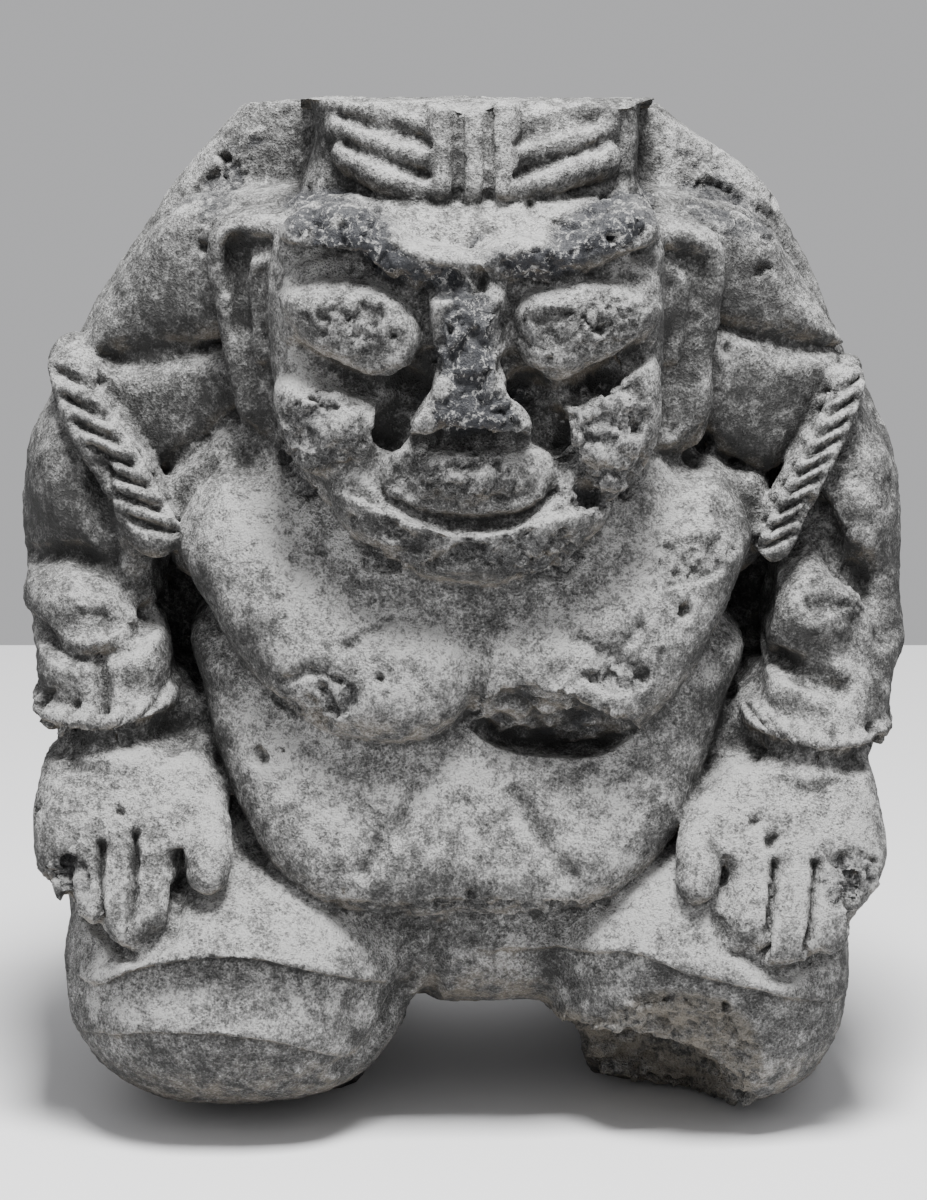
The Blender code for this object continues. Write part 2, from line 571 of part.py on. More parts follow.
def cloth_folds():
    """Edges of cloth that lap over what is below them: (rise, reach, path of (x, z))."""
    return [
        (1.9, 5, [(-41, 16), (-36, 16.6), (-30.2, 19.4), (-22.3, 20.4), (-16, 19.2), (-10, 17),
                  (-5.4, 14.6)]),
        (1.7, 5, [(-39, 9.8), (-34, 11.6), (-28.3, 12.8), (-20.5, 12.2), (-14.6, 10.4), (-10, 8)]),
        (1.5, 4, [(1, 18.4), (9.7, 18.8), (16, 20), (22, 18.4), (29.2, 16.4), (34, 14.6), (39.4, 12.4)]),
    ]


def smooth_flat(path):
    """A smooth curve through the (x, z) points of a path in the front view."""
    line = smooth_path([(x, 0.0, z) for x, z in path], steps=RIM_STEPS)
    return line[:, [0, 2]]


def front_distance(points, path):
    """How far each point is from a path in the front view, its side (1 above) and its share along."""
    knots = np.array(path, float)
    lengths = np.linalg.norm(np.diff(knots, axis=0), axis=1)
    starts = np.concatenate([[0], np.cumsum(lengths)])
    best = np.full(len(points), np.inf)
    side = np.zeros(len(points))
    share = np.zeros(len(points))
    flat = points[:, [0, 2]]
    for a, b, run, start in zip(knots[:-1], knots[1:], lengths, starts):
        way = (b - a) / run
        offset = flat - a
        along = np.clip(offset @ way, 0, run)
        gap = offset - along[:, None] * way
        distance = np.hypot(gap[:, 0], gap[:, 1])
        closer = distance < best
        best[closer] = distance[closer]
        side[closer] = np.sign(way[0] * offset[:, 1] - way[1] * offset[:, 0])[closer]
        share[closer] = (start + along[closer]) / starts[-1]
    return best, side, share


def engraved(mesh, marks, folds):
    """The mesh with its tool marks pressed in and its cloth edges raised, on the front only."""
    points, normals = vertex_array(mesh, "co") / SHARE, vertex_array(mesh, "normal")
    move = np.zeros_like(points)
    front = np.clip((0.1 - normals[:, 1]) * 3, 0, 1)
    for depth, width, path in marks:
        distance, _, _ = front_distance(points, smooth_flat(path))
        fade = np.clip(1 - (distance / (MARK_REACH * width)) ** 2, 0, 1) ** 2
        move -= normals * (depth * fade * front)[:, None]
    for rise, reach, path in folds:
        distance, side, share = front_distance(points, smooth_flat(path))
        above = np.clip(0.5 + 2 * side * distance / FOLD_EDGE, 0, 1)
        fade = above * np.exp(-distance / reach) * np.sin(math.pi * share) ** 0.4
        fade[distance > 3 * reach] = 0
        move[:, 1] -= rise * fade * front
    points = (points + move) * SHARE
    mesh.vertices.foreach_set("co", points.astype(np.float32).ravel())
    mesh.update()
    return mesh


def drop_crumbs(solid):
    """Keeps the largest closed skin and drops any loose scrap."""
    left, largest = set(solid.verts), []
    while left:
        front = [left.pop()]
        shell = list(front)
        while front:
            near = {edge.other_vert(v) for v in front for edge in v.link_edges} & left
            left -= near
            front = list(near)
            shell += front
        largest = max(largest, shell, key=len)
    kept = set(largest)
    bmesh.ops.delete(solid, geom=[v for v in solid.verts if v not in kept], context="VERTS")


def pressed_flat(mesh):
    """The mesh with its crown pressed flat, falling a little towards the back."""
    points = vertex_array(mesh, "co")
    back = np.maximum(points[:, 1] - CROWN_EDGE * SHARE, 0)
    over = np.maximum(points[:, 2] - SHARES * SHARE + CROWN_FALL * back, 0)
    points[:, 2] -= over * (1 - CROWN_SWELL)
    mesh.vertices.foreach_set("co", points.astype(np.float32).ravel())
    return mesh


def thinned(mesh):
    """The mesh in fewer triangles, with the small ones kept where the form turns."""
    lump = bpy.data.objects.new("clay", mesh)
    bpy.context.scene.collection.objects.link(lump)
    thin = lump.modifiers.new("facets", "DECIMATE")
    thin.ratio = FACE_COUNT / sum(len(p.vertices) - 2 for p in mesh.polygons)
    return settled(lump)


def stood(mesh):
    """The mesh cut level at the ground, centred over the origin and brought to its full height."""
    solid = bmesh.new()
    solid.from_mesh(mesh)
    everything = solid.verts[:] + solid.edges[:] + solid.faces[:]
    ground = bmesh.ops.bisect_plane(
        solid, geom=everything, plane_co=(0, 0, 0), plane_no=(0, 0, 1), clear_inner=True
    )
    rims = [item for item in ground["geom_cut"] if isinstance(item, bmesh.types.BMEdge)]
    bmesh.ops.holes_fill(solid, edges=rims)
    bmesh.ops.triangulate(solid, faces=[f for f in solid.faces if len(f.verts) > 3])
    drop_crumbs(solid)
    bmesh.ops.recalc_face_normals(solid, faces=solid.faces)
    places = np.array([v.co for v in solid.verts])
    low, high = places.min(axis=0), places.max(axis=0)
    foot = np.array([(low[0] + high[0]) / 2, (low[1] + high[1]) / 2, low[2]])
    scale = HEIGHT / (high[2] - low[2])
    for vertex in solid.verts:
        vertex.co = (np.array(vertex.co) - foot) * scale
    solid.to_mesh(mesh)
    solid.free()
    return mesh


def pottery():
    clay = bpy.data.materials.new("grey pottery")
    clay.use_nodes = True
    skin_look = clay.node_tree.nodes["Principled BSDF"]
    skin_look.inputs["Base Color"].default_value = POTTERY_GREY
    skin_look.inputs["Roughness"].default_value = 0.92
    return clay


def main():
    clear_scene()
    masses = fused(torso() + legs() + arms() + head(), SEAM_GRAIN, 6)
    masses = carved(masses, gaps())
    details = shoulder_pads() + breasts_and_belly() + face() + ears() + hair_bow()
    details += armlets() + bracelets() + hands()
    mesh = fused([as_shape(masses)] + details, CLAY_GRAIN, 2)
    mesh = carved(mesh, chips())
    mesh = engraved(mesh, creases(), cloth_folds())
    mesh = stood(thinned(pressed_flat(mesh)))
    figure = bpy.data.objects.new("figure", mesh)
    mesh.materials.append(pottery())
    bpy.context.scene.collection.objects.link(figure)
    return figure


if __name__ == "__main__":
    main()
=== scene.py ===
"""The look of a grey pottery guardian: a squat strongman who kneels with his hands on his knees.

The figure is one piece of fired clay, modelled again here with a finer skin than the
frame's solid: twisted cords, chipped brows, cracked edges, pits and a rough broken knee.
Places and sizes are shares of its height, x to the right, y to the back and z up.
"""

import math

import bmesh
import bpy
import numpy as np
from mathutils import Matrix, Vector


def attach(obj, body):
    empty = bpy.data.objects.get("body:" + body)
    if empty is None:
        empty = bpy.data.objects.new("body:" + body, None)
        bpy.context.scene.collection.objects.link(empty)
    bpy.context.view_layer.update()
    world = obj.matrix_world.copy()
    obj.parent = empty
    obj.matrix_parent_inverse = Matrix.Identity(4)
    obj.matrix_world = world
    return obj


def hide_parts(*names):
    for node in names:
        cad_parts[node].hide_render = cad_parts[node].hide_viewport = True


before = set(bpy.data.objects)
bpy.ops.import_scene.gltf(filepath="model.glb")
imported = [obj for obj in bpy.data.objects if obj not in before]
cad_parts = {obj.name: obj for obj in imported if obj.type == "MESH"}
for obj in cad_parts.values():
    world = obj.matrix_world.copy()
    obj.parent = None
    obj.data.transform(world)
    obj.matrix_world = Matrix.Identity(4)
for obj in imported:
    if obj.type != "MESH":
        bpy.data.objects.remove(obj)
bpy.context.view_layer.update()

# Sizes in metres
HEIGHT = 0.305  # from the ground to the front edge of the crown
CLAY_GRAIN = 0.0011  # cell of the skin that joins the pads and rolls
SEAM_GRAIN = 0.0024  # cell of the skin that joins the big masses

# Every place and length below is in shares of the height, 101.8 of them in all
SHARES = 101.8
SHARE = HEIGHT / SHARES
CROWN_EDGE = -13  # depth of the crown's front edge, where it is highest
CROWN_FALL = 0.095  # how much the crown drops for each step back from there
CROWN_SWELL = 0.01  # share of its rise that the pressed crown keeps
CROWN_DENTS = 0.9  # depth of the worn dents in its top
MARK_REACH = 1.8  # a tool mark fades out at this many of its half widths
FOLD_EDGE = 1.1  # width of the step at the edge of a cloth fold

FACE_COUNT = 190000  # triangles in the finished skin
SPIKE = 1.6  # a point further than this from the middle of its neighbours is drawn back
BALL_STEPS = 4
SECTION_SIDES = 28
DOME_RINGS = 12
DOME_EDGE = 85  # degrees from the top of a dome to its last ring
CURVE_STEPS = 9
RIM_STEPS = 5
SHARD_LAYERS = 2  # sizes of facet laid over each other on a fresh break
MASS_RUBS, DETAIL_RUBS = 8, 2  # how often the seams are rubbed smooth
FINE_ROUNDS, FORM_ROUNDS = 6, 90  # how far the skin is smoothed to find its relief and its form

BAND_FLAT = 0.6  # depth of an upper arm's cord as a share of its width
BAND_SUNK = 4.2  # how deep the roll under that cord lies
BAND_FILL = 1.15  # the width of that roll as a share of the cord's
RING_RADIUS = 1.3  # the bracelets' core
STRAND_REACH = 1.5  # and how far their strands stand out from its middle


# Clay: the shapes that a potter's hand makes, as (points, faces)


def smooth_path(points, closed=False, steps=CURVE_STEPS):
    """Points on a smooth curve through the given ones."""
    knots = np.array(points, float)
    count = len(knots)
    if closed:
        knots = np.vstack([knots[-1:], knots, knots[:2]])
        spans = count
    else:
        knots = np.vstack([2 * knots[:1] - knots[1:2], knots, 2 * knots[-1:] - knots[-2:-1]])
        spans = count - 1
    t = np.linspace(0.0, 1.0, steps, endpoint=False)[:, None]
    runs = []
    for i in range(spans):
        a, b, c, d = knots[i : i + 4]
        second = (2 * a - 5 * b + 4 * c - d) * t**2
        third = (3 * b - a - 3 * c + d) * t**3
        runs.append(0.5 * (2 * b + (c - a) * t + second + third))
    if not closed:
        runs.append(knots[-2:-1])
    return np.vstack(runs)


def skin(rings, closed=False):
    """Joins rings of points into a tube; an open tube's ends are capped."""
    count, sides = len(rings), len(rings[0])
    faces = []
    for i in range(count if closed else count - 1):
        here, there = i * sides, (i + 1) % count * sides
        for j in range(sides):
            k = (j + 1) % sides
            faces.append((here + j, here + k, there + k, there + j))
    if not closed:
        faces.append(tuple(range(sides))[::-1])
        faces.append(tuple(range((count - 1) * sides, count * sides)))
    return np.concatenate(rings), faces


def ball(centre, radii, turn=0.0, square=2.0):
    """A round lump, turned by turn degrees in the front view, and boxier as square grows."""
    shape = bmesh.new()
    bmesh.ops.create_icosphere(shape, subdivisions=BALL_STEPS, radius=1.0)
    ways = np.array([v.co for v in shape.verts])
    faces = [tuple(v.index for v in f.verts) for f in shape.faces]
    shape.free()
    reach = (np.abs(ways / np.array(radii)) ** square).sum(1) ** (-1.0 / square)
    points = ways * reach[:, None]
    c, s = math.cos(math.radians(turn)), math.sin(math.radians(turn))
    x, z = points[:, 0].copy(), points[:, 2].copy()
    points[:, 0], points[:, 2] = c * x - s * z, s * x + c * z
    return points + np.array(centre), faces


def roll(path, radii, flat=1.0, closed=False):
    """A roll of clay with round ends along a smooth path; its depth is flat times its width."""
    radii = np.array(radii, float) * np.ones(len(path))
    line = smooth_path(np.column_stack([np.array(path, float), radii]), closed)
    spine, size = line[:, :3], line[:, 3]
    along = np.gradient(spine, axis=0)
    if closed:
        along = np.roll(spine, -1, axis=0) - np.roll(spine, 1, axis=0)
    along /= np.linalg.norm(along, axis=1)[:, None]
    if not closed:
        swing = np.radians([90, 60, 30])
        first = [spine[0] - along[0] * size[0] * math.sin(a) for a in swing]
        last = [spine[-1] + along[-1] * size[-1] * math.sin(a) for a in swing[::-1]]
        spine = np.vstack([first, spine, last])
        thin = np.maximum(np.cos(swing), 0.08)
        size = np.concatenate([size[0] * thin, size, size[-1] * thin[::-1]])
        along = np.vstack([along[:1]] * 3 + [along] + [along[-1:]] * 3)
    side = np.cross(along, [0.0, 1.0, 0.0])
    head_on = np.linalg.norm(side, axis=1) < 0.2
    side[head_on] = np.cross(along[head_on], [0.0, 0.0, 1.0])
    side /= np.linalg.norm(side, axis=1)[:, None]
    other = np.cross(side, along)
    angle = np.linspace(0, 2 * math.pi, SECTION_SIDES, endpoint=False)
    rings = [
        p + r * (np.cos(angle)[:, None] * a + flat * np.sin(angle)[:, None] * b)
        for p, r, a, b in zip(spine, size, side, other)
    ]
    return skin(rings, closed)


def pad(outline, edge, rise, back, square=2.4, lean=(0.0, 0.0)):
    """A pad of clay that swells towards the front out of an outline of (x, z) points.

    edge is the depth of its rim, rise its swelling, and back the depth that it is sunk to.
    lean is how much deeper it lies for each step to the right and up.
    """
    rim = smooth_path([(x, 0.0, z) for x, z in outline], closed=True, steps=RIM_STEPS)
    middle = rim.mean(axis=0)
    rings = []
    for turn in np.radians(np.linspace(DOME_EDGE, 0, DOME_RINGS)):
        ring = middle + (rim - middle) * math.cos(turn) ** (2 / square)
        tilt = (ring[:, 0] - middle[0]) * lean[0] + (ring[:, 2] - middle[2]) * lean[1]
        ring[:, 1] = edge + tilt - rise * math.sin(turn) ** (2 / square)
        rings.append(ring)
    sunk = rings[-1].copy()
    sunk[:, 1] = back
    rings.append(sunk)
    return skin(rings)


def slab(outline, middle, front, back):
    """A thick plate that swells out of its rim; front and back are (rise, square) pairs."""
    rim = smooth_path([(x, middle, z) for x, z in outline], closed=True, steps=RIM_STEPS)
    centre = rim.mean(axis=0)
    rings = []
    for turn in np.radians(np.linspace(-DOME_EDGE, DOME_EDGE, 2 * DOME_RINGS)):
        rise, square = back if turn > 0 else front
        ring = centre + (rim - centre) * math.cos(turn) ** (2 / square)
        ring[:, 1] = middle + math.copysign(rise, turn) * abs(math.sin(turn)) ** (2 / square)
        rings.append(ring)
    return skin(rings)


# The cord winder: a Geometry Nodes tree that lays slanted strands along a path


def cord_winder():
    """The tree that winds a cord: round slices threaded on a path, slanted like a twist."""
    tree = bpy.data.node_groups.new("cord winder", "GeometryNodeTree")
    face = tree.interface
    face.new_socket("Path", in_out="INPUT", socket_type="NodeSocketGeometry")
    for name, start in (("Pitch", 2.0), ("Thickness", 1.0), ("Reach", 2.4), ("Slant", 0.3)):
        face.new_socket(name, in_out="INPUT", socket_type="NodeSocketFloat").default_value = start
    face.new_socket("Core", in_out="INPUT", socket_type="NodeSocketVector")
    face.new_socket("Clay", in_out="INPUT", socket_type="NodeSocketMaterial")
    face.new_socket("Cord", in_out="OUTPUT", socket_type="NodeSocketGeometry")
    add, link = tree.nodes.new, tree.links.new
    given, result = add("NodeGroupInput"), add("NodeGroupOutput")

    spaced = add("GeometryNodeResampleCurve")
    spaced.mode = "LENGTH"
    link(given.outputs["Path"], spaced.inputs["Curve"])
    link(given.outputs["Pitch"], spaced.inputs["Length"])

    place, way = add("GeometryNodeInputPosition"), add("GeometryNodeInputTangent")
    outward = add("ShaderNodeVectorMath")
    outward.operation = "SUBTRACT"
    link(place.outputs[0], outward.inputs[0])
    link(given.outputs["Core"], outward.inputs[1])
    lean = add("ShaderNodeVectorRotate")
    lean.rotation_type = "AXIS_ANGLE"
    link(way.outputs[0], lean.inputs["Vector"])
    link(outward.outputs[0], lean.inputs["Axis"])
    link(given.outputs["Slant"], lean.inputs["Angle"])
    facing = add("FunctionNodeAlignRotationToVector")
    facing.axis = "Z"
    link(lean.outputs[0], facing.inputs["Vector"])

    disc = add("GeometryNodeMeshCylinder")
    disc.inputs["Vertices"].default_value = SECTION_SIDES
    disc.inputs["Radius"].default_value = 1.0
    disc.inputs["Depth"].default_value = 2.0
    size = add("ShaderNodeCombineXYZ")
    link(given.outputs["Reach"], size.inputs["X"])
    link(given.outputs["Reach"], size.inputs["Y"])
    link(given.outputs["Thickness"], size.inputs["Z"])

    threaded = add("GeometryNodeInstanceOnPoints")
    link(spaced.outputs[0], threaded.inputs["Points"])
    link(disc.outputs[0], threaded.inputs["Instance"])
    link(facing.outputs[0], threaded.inputs["Rotation"])
    link(size.outputs[0], threaded.inputs["Scale"])
    whole = add("GeometryNodeRealizeInstances")
    link(threaded.outputs[0], whole.inputs[0])
    dressed = add("GeometryNodeSetMaterial")
    link(whole.outputs[0], dressed.inputs["Geometry"])
    link(given.outputs["Clay"], dressed.inputs["Material"])
    link(dressed.outputs[0], result.inputs[0])
    return tree


def cord(winder, clay, path, core, pitch, thickness, reach, slant):
    """A twisted ring of cord along a path; core is the point that its strands turn round."""
    line = smooth_path(path, closed=True)
    track = bpy.data.curves.new("track", "CURVE")
    track.dimensions = "3D"
    run = track.splines.new("POLY")
    run.points.add(len(line) - 1)
    run.points.foreach_set("co", np.column_stack([line, np.ones(len(line))]).ravel())
    run.use_cyclic_u = True
    thread = bpy.data.objects.new("thread", track)
    bpy.context.scene.collection.objects.link(thread)
    wind = thread.modifiers.new("wound", "NODES")
    wind.node_group = winder
    sizes = {"Pitch": pitch, "Thickness": thickness, "Reach": reach, "Slant": math.radians(slant)}
    for item in winder.interface.items_tree:
        if item.name in sizes:
            wind[item.identifier] = float(sizes[item.name])
        elif item.name == "Core":
            wind[item.identifier] = [float(v) for v in core]
        elif item.name == "Clay":
            wind[item.identifier] = clay
    graph = bpy.context.evaluated_depsgraph_get()
    mesh = bpy.data.meshes.new_from_object(thread.evaluated_get(graph))
    shape = vertex_array(mesh, "co"), [tuple(p.vertices) for p in mesh.polygons]
    bpy.data.objects.remove(thread)
    bpy.data.curves.remove(track)
    bpy.data.meshes.remove(mesh)
    return shape


# The big masses


def torso():
    """The humped back with its flat top, the shoulders, the waist and the chest."""
    back = [
        (-19.5, 102), (-10, 103), (6, 103), (16.5, 102), (21, 98.4), (29.4, 92.6), (33, 87.4),
        (37.4, 78), (39.4, 72), (41, 60), (40.4, 48), (39, 36), (38, 24), (34, 10), (0, 9),
        (-34, 10), (-38.5, 24), (-39, 36), (-40.6, 48), (-41.4, 60), (-40, 74), (-36.2, 81.8),
        (-31, 89), (-27.6, 93.6),
    ]
    return [
        slab(back, 6, (7, 3.2), (19, 2.5)),
        ball((0, -4, 60), (29, 13, 16)),
        ball((0, -3, 36), (25, 16, 16), square=2.3),
        ball((-30, -3, 35), (9.4, 13, 10), square=2.3),
        ball((30, -3, 35), (9.4, 13, 10), square=2.3),
        ball((-14, 12, 66), (19, 15.4, 24), turn=14),
        ball((14, 12, 66), (19, 15.4, 24), turn=-14),
        ball((0, 10, 30), (33, 17, 16), square=2.4),
    ]


def legs():
    """Folded legs that run from the knees back to the feet."""
    return [
        ball((-22.6, -9.5, 14.6), (17.6, 18.5, 13.6), square=2.45),
        ball((23.6, -8, 15), (15.4, 18.5, 14.6), square=2.6),
        ball((-26.6, -1, 22), (14.2, 20, 13)),
        ball((26.6, -1, 22), (13.2, 20, 13)),
        ball((-21, 10, 7), (15.5, 18, 9.6), square=2.9),
        ball((22.5, 10, 7), (15.5, 18, 9.6), square=2.9),
        ball((-22, 0, 3), (13.4, 11.4, 4.6), square=3),
        ball((28, 2, 3), (9.6, 9.6, 4.6), square=3),
        ball((-14, 23, 5.4), (7.4, 6, 5.8), turn=20),
        ball((15.5, 23, 5.4), (7.4, 6, 5.8), turn=-20),
        ball((0, 0, 20), (20, 19, 10), square=3.2),
    ]


def arms():
    """Thick arms, bent a little at the elbow, that come down to the knees."""
    left = [
        roll([(-35, 5, 69), (-37.6, 1, 62), (-37, -5, 52), (-35.8, -11, 44), (-33.8, -15, 37)],
             [7, 7, 6.8, 6.2, 6]),
        ball((-38.6, -1.5, 62), (5.4, 9.5, 9.6), turn=2, square=2.2),
        ball((-37.2, -1, 70.6), (4, 7.4, 6.4), turn=-20),
        ball((-33.6, -7, 58.6), (4.4, 7, 7), turn=20),
        ball((-36.8, -7, 51.6), (7.4, 9, 4.4), turn=-4, square=2.2),
        ball((-38.6, -11, 46), (3.9, 6.8, 4.6), square=2.3),
        ball((-32.4, -11, 46.2), (3.4, 6.8, 4.6), square=2.3),
        ball((-35.6, -11, 45.6), (4, 6.2, 5)),
        ball((-36, -11.4, 47.4), (4, 6.6, 4.4)),
    ]
    right = [
        roll([(34.6, 5, 69), (37.2, 1, 62), (37.2, -5, 52), (36.2, -11, 43), (33.6, -15, 36)],
             [7, 7, 6.8, 6.4, 6.2]),
        ball((38.8, -1.5, 59.4), (5, 9.5, 9.6), turn=2, square=2.2),
        ball((36.8, -1, 68.4), (4, 7.4, 7), turn=20),
        ball((34.6, -8.5, 50.8), (5.4, 8.4, 6.4), turn=-24, square=2.2),
        ball((40, -6, 47.4), (4.2, 8.4, 6), turn=-10),
        ball((32.8, -13.4, 43.9), (3.1, 5.4, 2.8), square=2.3),
    ]
    return left + right


def head():
    """The head, a squared block that stands forward of the shoulders, and its narrower crown."""
    face_outline = [
        (-14.6, 92.6), (-17.2, 91), (-18.4, 87.6), (-18.8, 82), (-18.4, 75), (-17.4, 69.5),
        (-15.4, 65.2), (-12.4, 62), (-8.5, 59), (-4, 56.8), (1, 56), (5.8, 56.2), (9.4, 58),
        (13, 61.2), (16, 65.2), (18.4, 69.8), (19.3, 76), (19.4, 83), (19.2, 88), (18, 91),
        (15.6, 92.6), (0, 93),
    ]
    crown = [
        (-14, 107), (-14.2, 99), (-15.4, 94.5), (-16.4, 90), (-15, 80), (0, 76), (16, 80),
        (17.4, 90), (16.6, 94.5), (16.4, 99), (16.4, 107),
    ]
    left_lobe = [(-13.6, 107), (-14.4, 98), (-13.4, 92), (-10.6, 94), (-9.4, 99), (-10, 107)]
    right_lobe = [(16.2, 107), (17, 97), (16, 92), (14, 94), (13, 99), (13, 107)]
    return [
        pad(face_outline, -14, 9.4, 4, square=4.4),
        pad(crown, -8, 8, 6, square=4, lean=(0, 0.2)),
        pad(left_lobe, -10, 4, 0, lean=(0, 0.2)),
        pad(right_lobe, -10, 3.4, 0, lean=(0, 0.2)),
    ]


# The pads, rolls and cords pressed on


def shoulder_pads():
    """Three overlapping folds of flesh on each shoulder, each tucked under the one above."""
    left = [
        pad([(-37.6, 78), (-35.4, 82), (-31, 88), (-27, 91), (-20, 92), (-16, 92), (-18, 86),
             (-21.5, 78.5), (-30, 76.2), (-38, 75.2)], -3, 6.2, 8, square=3.4, lean=(-0.3, 0.06)),
        pad([(-37.6, 74.6), (-30.5, 75.2), (-22, 77), (-20, 74), (-23, 70), (-30, 64.4),
             (-33.6, 67), (-36.6, 71)], -4.6, 4.8, 8, square=3.4, lean=(-0.34, 0.0)),
        pad([(-29.6, 63.8), (-26, 67), (-22, 70.4), (-14, 68), (-14, 60), (-22, 54.5), (-28, 54),
             (-29.6, 58)], -8, 5, 8, square=3.2, lean=(-0.3, 0.0)),
    ]
    right = [
        pad([(17, 92), (24, 91), (29.6, 88.8), (33, 84), (37, 78), (37.6, 76.4), (31, 77.4),
             (24.2, 79.6), (20, 86)], -3, 6.2, 8, square=3.4, lean=(0.3, 0.06)),
        pad([(24.4, 78.8), (31, 76.8), (37.4, 75.6), (35.6, 70.4), (31, 64.4), (27, 65.6),
             (23.4, 68.4), (23.4, 74)], -4.6, 5.2, 8, square=3.6, lean=(0.34, 0.0)),
        pad([(22.6, 67.4), (26.6, 65), (30.4, 63.4), (30, 56), (24, 53.5), (14, 58), (14, 66)],
            -8, 4.6, 8, square=3, lean=(0.3, 0.0)),
    ]
    under = [
        ball((-28, 0, 76), (9, 7.6, 4.6)),
        ball((28, 0, 77), (9, 7.6, 4.6)),
        ball((-24, -2, 66), (8, 8, 5)),
    ]
    return left + right + under


def breasts_and_belly():
    """Sagging breasts over a full belly."""
    left = [
        (-28, 60), (-27.2, 56), (-24.6, 51.6), (-21.6, 47.4), (-18, 43.8), (-14.4, 41.4),
        (-10.6, 40.3), (-5.6, 40.2), (-2, 41), (1.4, 43.6), (5, 49), (8, 58), (2, 66), (-12, 68),
        (-24, 66),
    ]
    right = [
        (28.2, 60), (27.6, 56.4), (25.4, 51.5), (23, 47.4), (20.2, 43.8), (16.6, 41), (12.4, 39.8),
        (8, 40), (3.6, 41.2), (0.6, 43.6), (-3, 49), (-6, 58), (0, 66), (12, 68), (24, 66),
    ]
    belly = [
        (-26.6, 50), (-26, 44), (-24.4, 38), (-22.6, 33.4), (-20, 28.6), (-16.6, 25.4), (-12, 23.4),
        (-5, 22.7), (3, 22.6), (9.6, 22.8), (14, 24.2), (18.4, 27.2), (21.8, 31.4), (24.2, 37),
        (26.2, 43.4), (27.2, 49), (16, 56), (-16, 56),
    ]
    return [
        pad(left, -13, 11.4, 4, square=3.4, lean=(-0.08, 0.32)),
        pad(right, -13, 11.4, 4, square=3.4, lean=(0.08, 0.32)),
        pad(belly, -12, 12, 6, square=3.6, lean=(0, 0.34)),
    ]


def face():
    """Heavy brows, bulging eyes, a broad broken nose, full cheeks and a pushed-out mouth."""
    left_brow = [
        (-17.4, 90.6), (-15.4, 92.2), (-12.4, 93), (-9, 92.8), (-6.4, 91), (-4, 89.4), (-1, 88.8),
        (1.4, 88), (0.6, 85.6), (-3, 84.9), (-6.2, 85.8), (-8.8, 87.6), (-12, 88.8), (-15.2, 89.2),
        (-17.2, 89.2),
    ]
    right_brow = [
        (-0.4, 87.6), (2.6, 89.6), (5.6, 90), (8.6, 89.6), (11.6, 91), (14, 92.4), (16.8, 92.6),
        (18.4, 91), (18, 89), (15.4, 88.2), (12.4, 86.8), (9, 85.5), (5.6, 85.8), (2, 85.8),
    ]
    left_eye = [
        (-17.6, 84.2), (-15, 85.8), (-10.4, 86.2), (-6.8, 85), (-4.1, 82.2), (-3.7, 79.4),
        (-4.8, 77), (-7.4, 76), (-10.8, 76.8), (-14.4, 78.8), (-16.6, 81.4),
    ]
    right_eye = [
        (5.1, 83.8), (7.4, 85.4), (10, 86), (14, 86), (17.4, 84.6), (19, 82.6), (16.4, 79.2),
        (12.4, 77.2), (8.9, 75.8), (6.1, 77.2), (4.7, 80.4),
    ]
    nose_shape = [
        (-2.8, 86.5), (-3.1, 82), (-3, 78.6), (-3.6, 75.8), (-5.4, 73), (-6, 71.4), (-4.4, 70.8),
        (-1.6, 71.4), (1.4, 71), (5, 71.2), (7, 71), (7.3, 72.6), (5.6, 75.4), (4.2, 78), (3.8, 82),
        (3.6, 86.5),
    ]
    cheeks = [
        pad([(-17.8, 76), (-13, 76), (-9.4, 75.2), (-7.6, 73.4), (-7.4, 71), (-9, 68.6),
             (-12.6, 67), (-16, 67.6), (-17.8, 71)], -21, 6.2, -12, square=3.4, lean=(-0.12, 0)),
        pad([(9, 73.6), (11.2, 76), (14.4, 77.8), (18.2, 78.4), (18.8, 73), (17.6, 68),
             (14.4, 64.6), (11.4, 65.6), (9.2, 69)], -21, 6.2, -12, square=3.4, lean=(0.12, 0)),
    ]
    lip = [
        (-7.2, 66.8), (-4.8, 69.2), (-1.6, 70.9), (2, 71.4), (5.2, 70.6), (8, 67.4), (7.2, 65.6),
        (4.6, 64.4), (1, 63.8), (-2.8, 64.2), (-5.6, 65.3),
    ]
    chin = [
        (-13, 66), (-10.6, 64.6), (-8.2, 63.6), (-5, 62.8), (-1, 62.4), (3, 62.4), (7, 62.8),
        (10, 63.6), (12.4, 64.6), (14.6, 64), (12.8, 61), (9.4, 58), (5.8, 56.4), (1, 56),
        (-4, 56.8), (-8.5, 59), (-11.8, 62),
    ]
    muzzle = [(-9.4, 71), (0, 74), (10.4, 71), (13.4, 66), (10, 61), (0, 59), (-9, 61),
              (-13.4, 66.4)]
    middle = [(-16, 87), (-16.6, 76), (-13, 66), (0, 64), (13, 66), (17.4, 76), (17.4, 87), (0, 88)]
    return cheeks + [
        pad(left_brow, -20.6, 7.6, -12, square=3, lean=(-0.1, 0)),
        pad(right_brow, -20.6, 7.4, -12, square=3, lean=(0.1, 0)),
        pad(left_eye, -21, 7, -14, square=3.4, lean=(-0.12, 0)),
        pad(right_eye, -21, 7, -14, square=3.4, lean=(0.12, 0)),
        pad(nose_shape, -21, 8.4, -14, square=4.4, lean=(0, 0.1)),
        pad(middle, -21, 3.8, -12, square=5),
        pad(muzzle, -18, 8.6, -12, square=4),
        pad(lip, -21, 7.2, -14, square=2.8),
        pad(chin, -20, 8, -12, square=3.2, lean=(0, -0.12)),
    ]


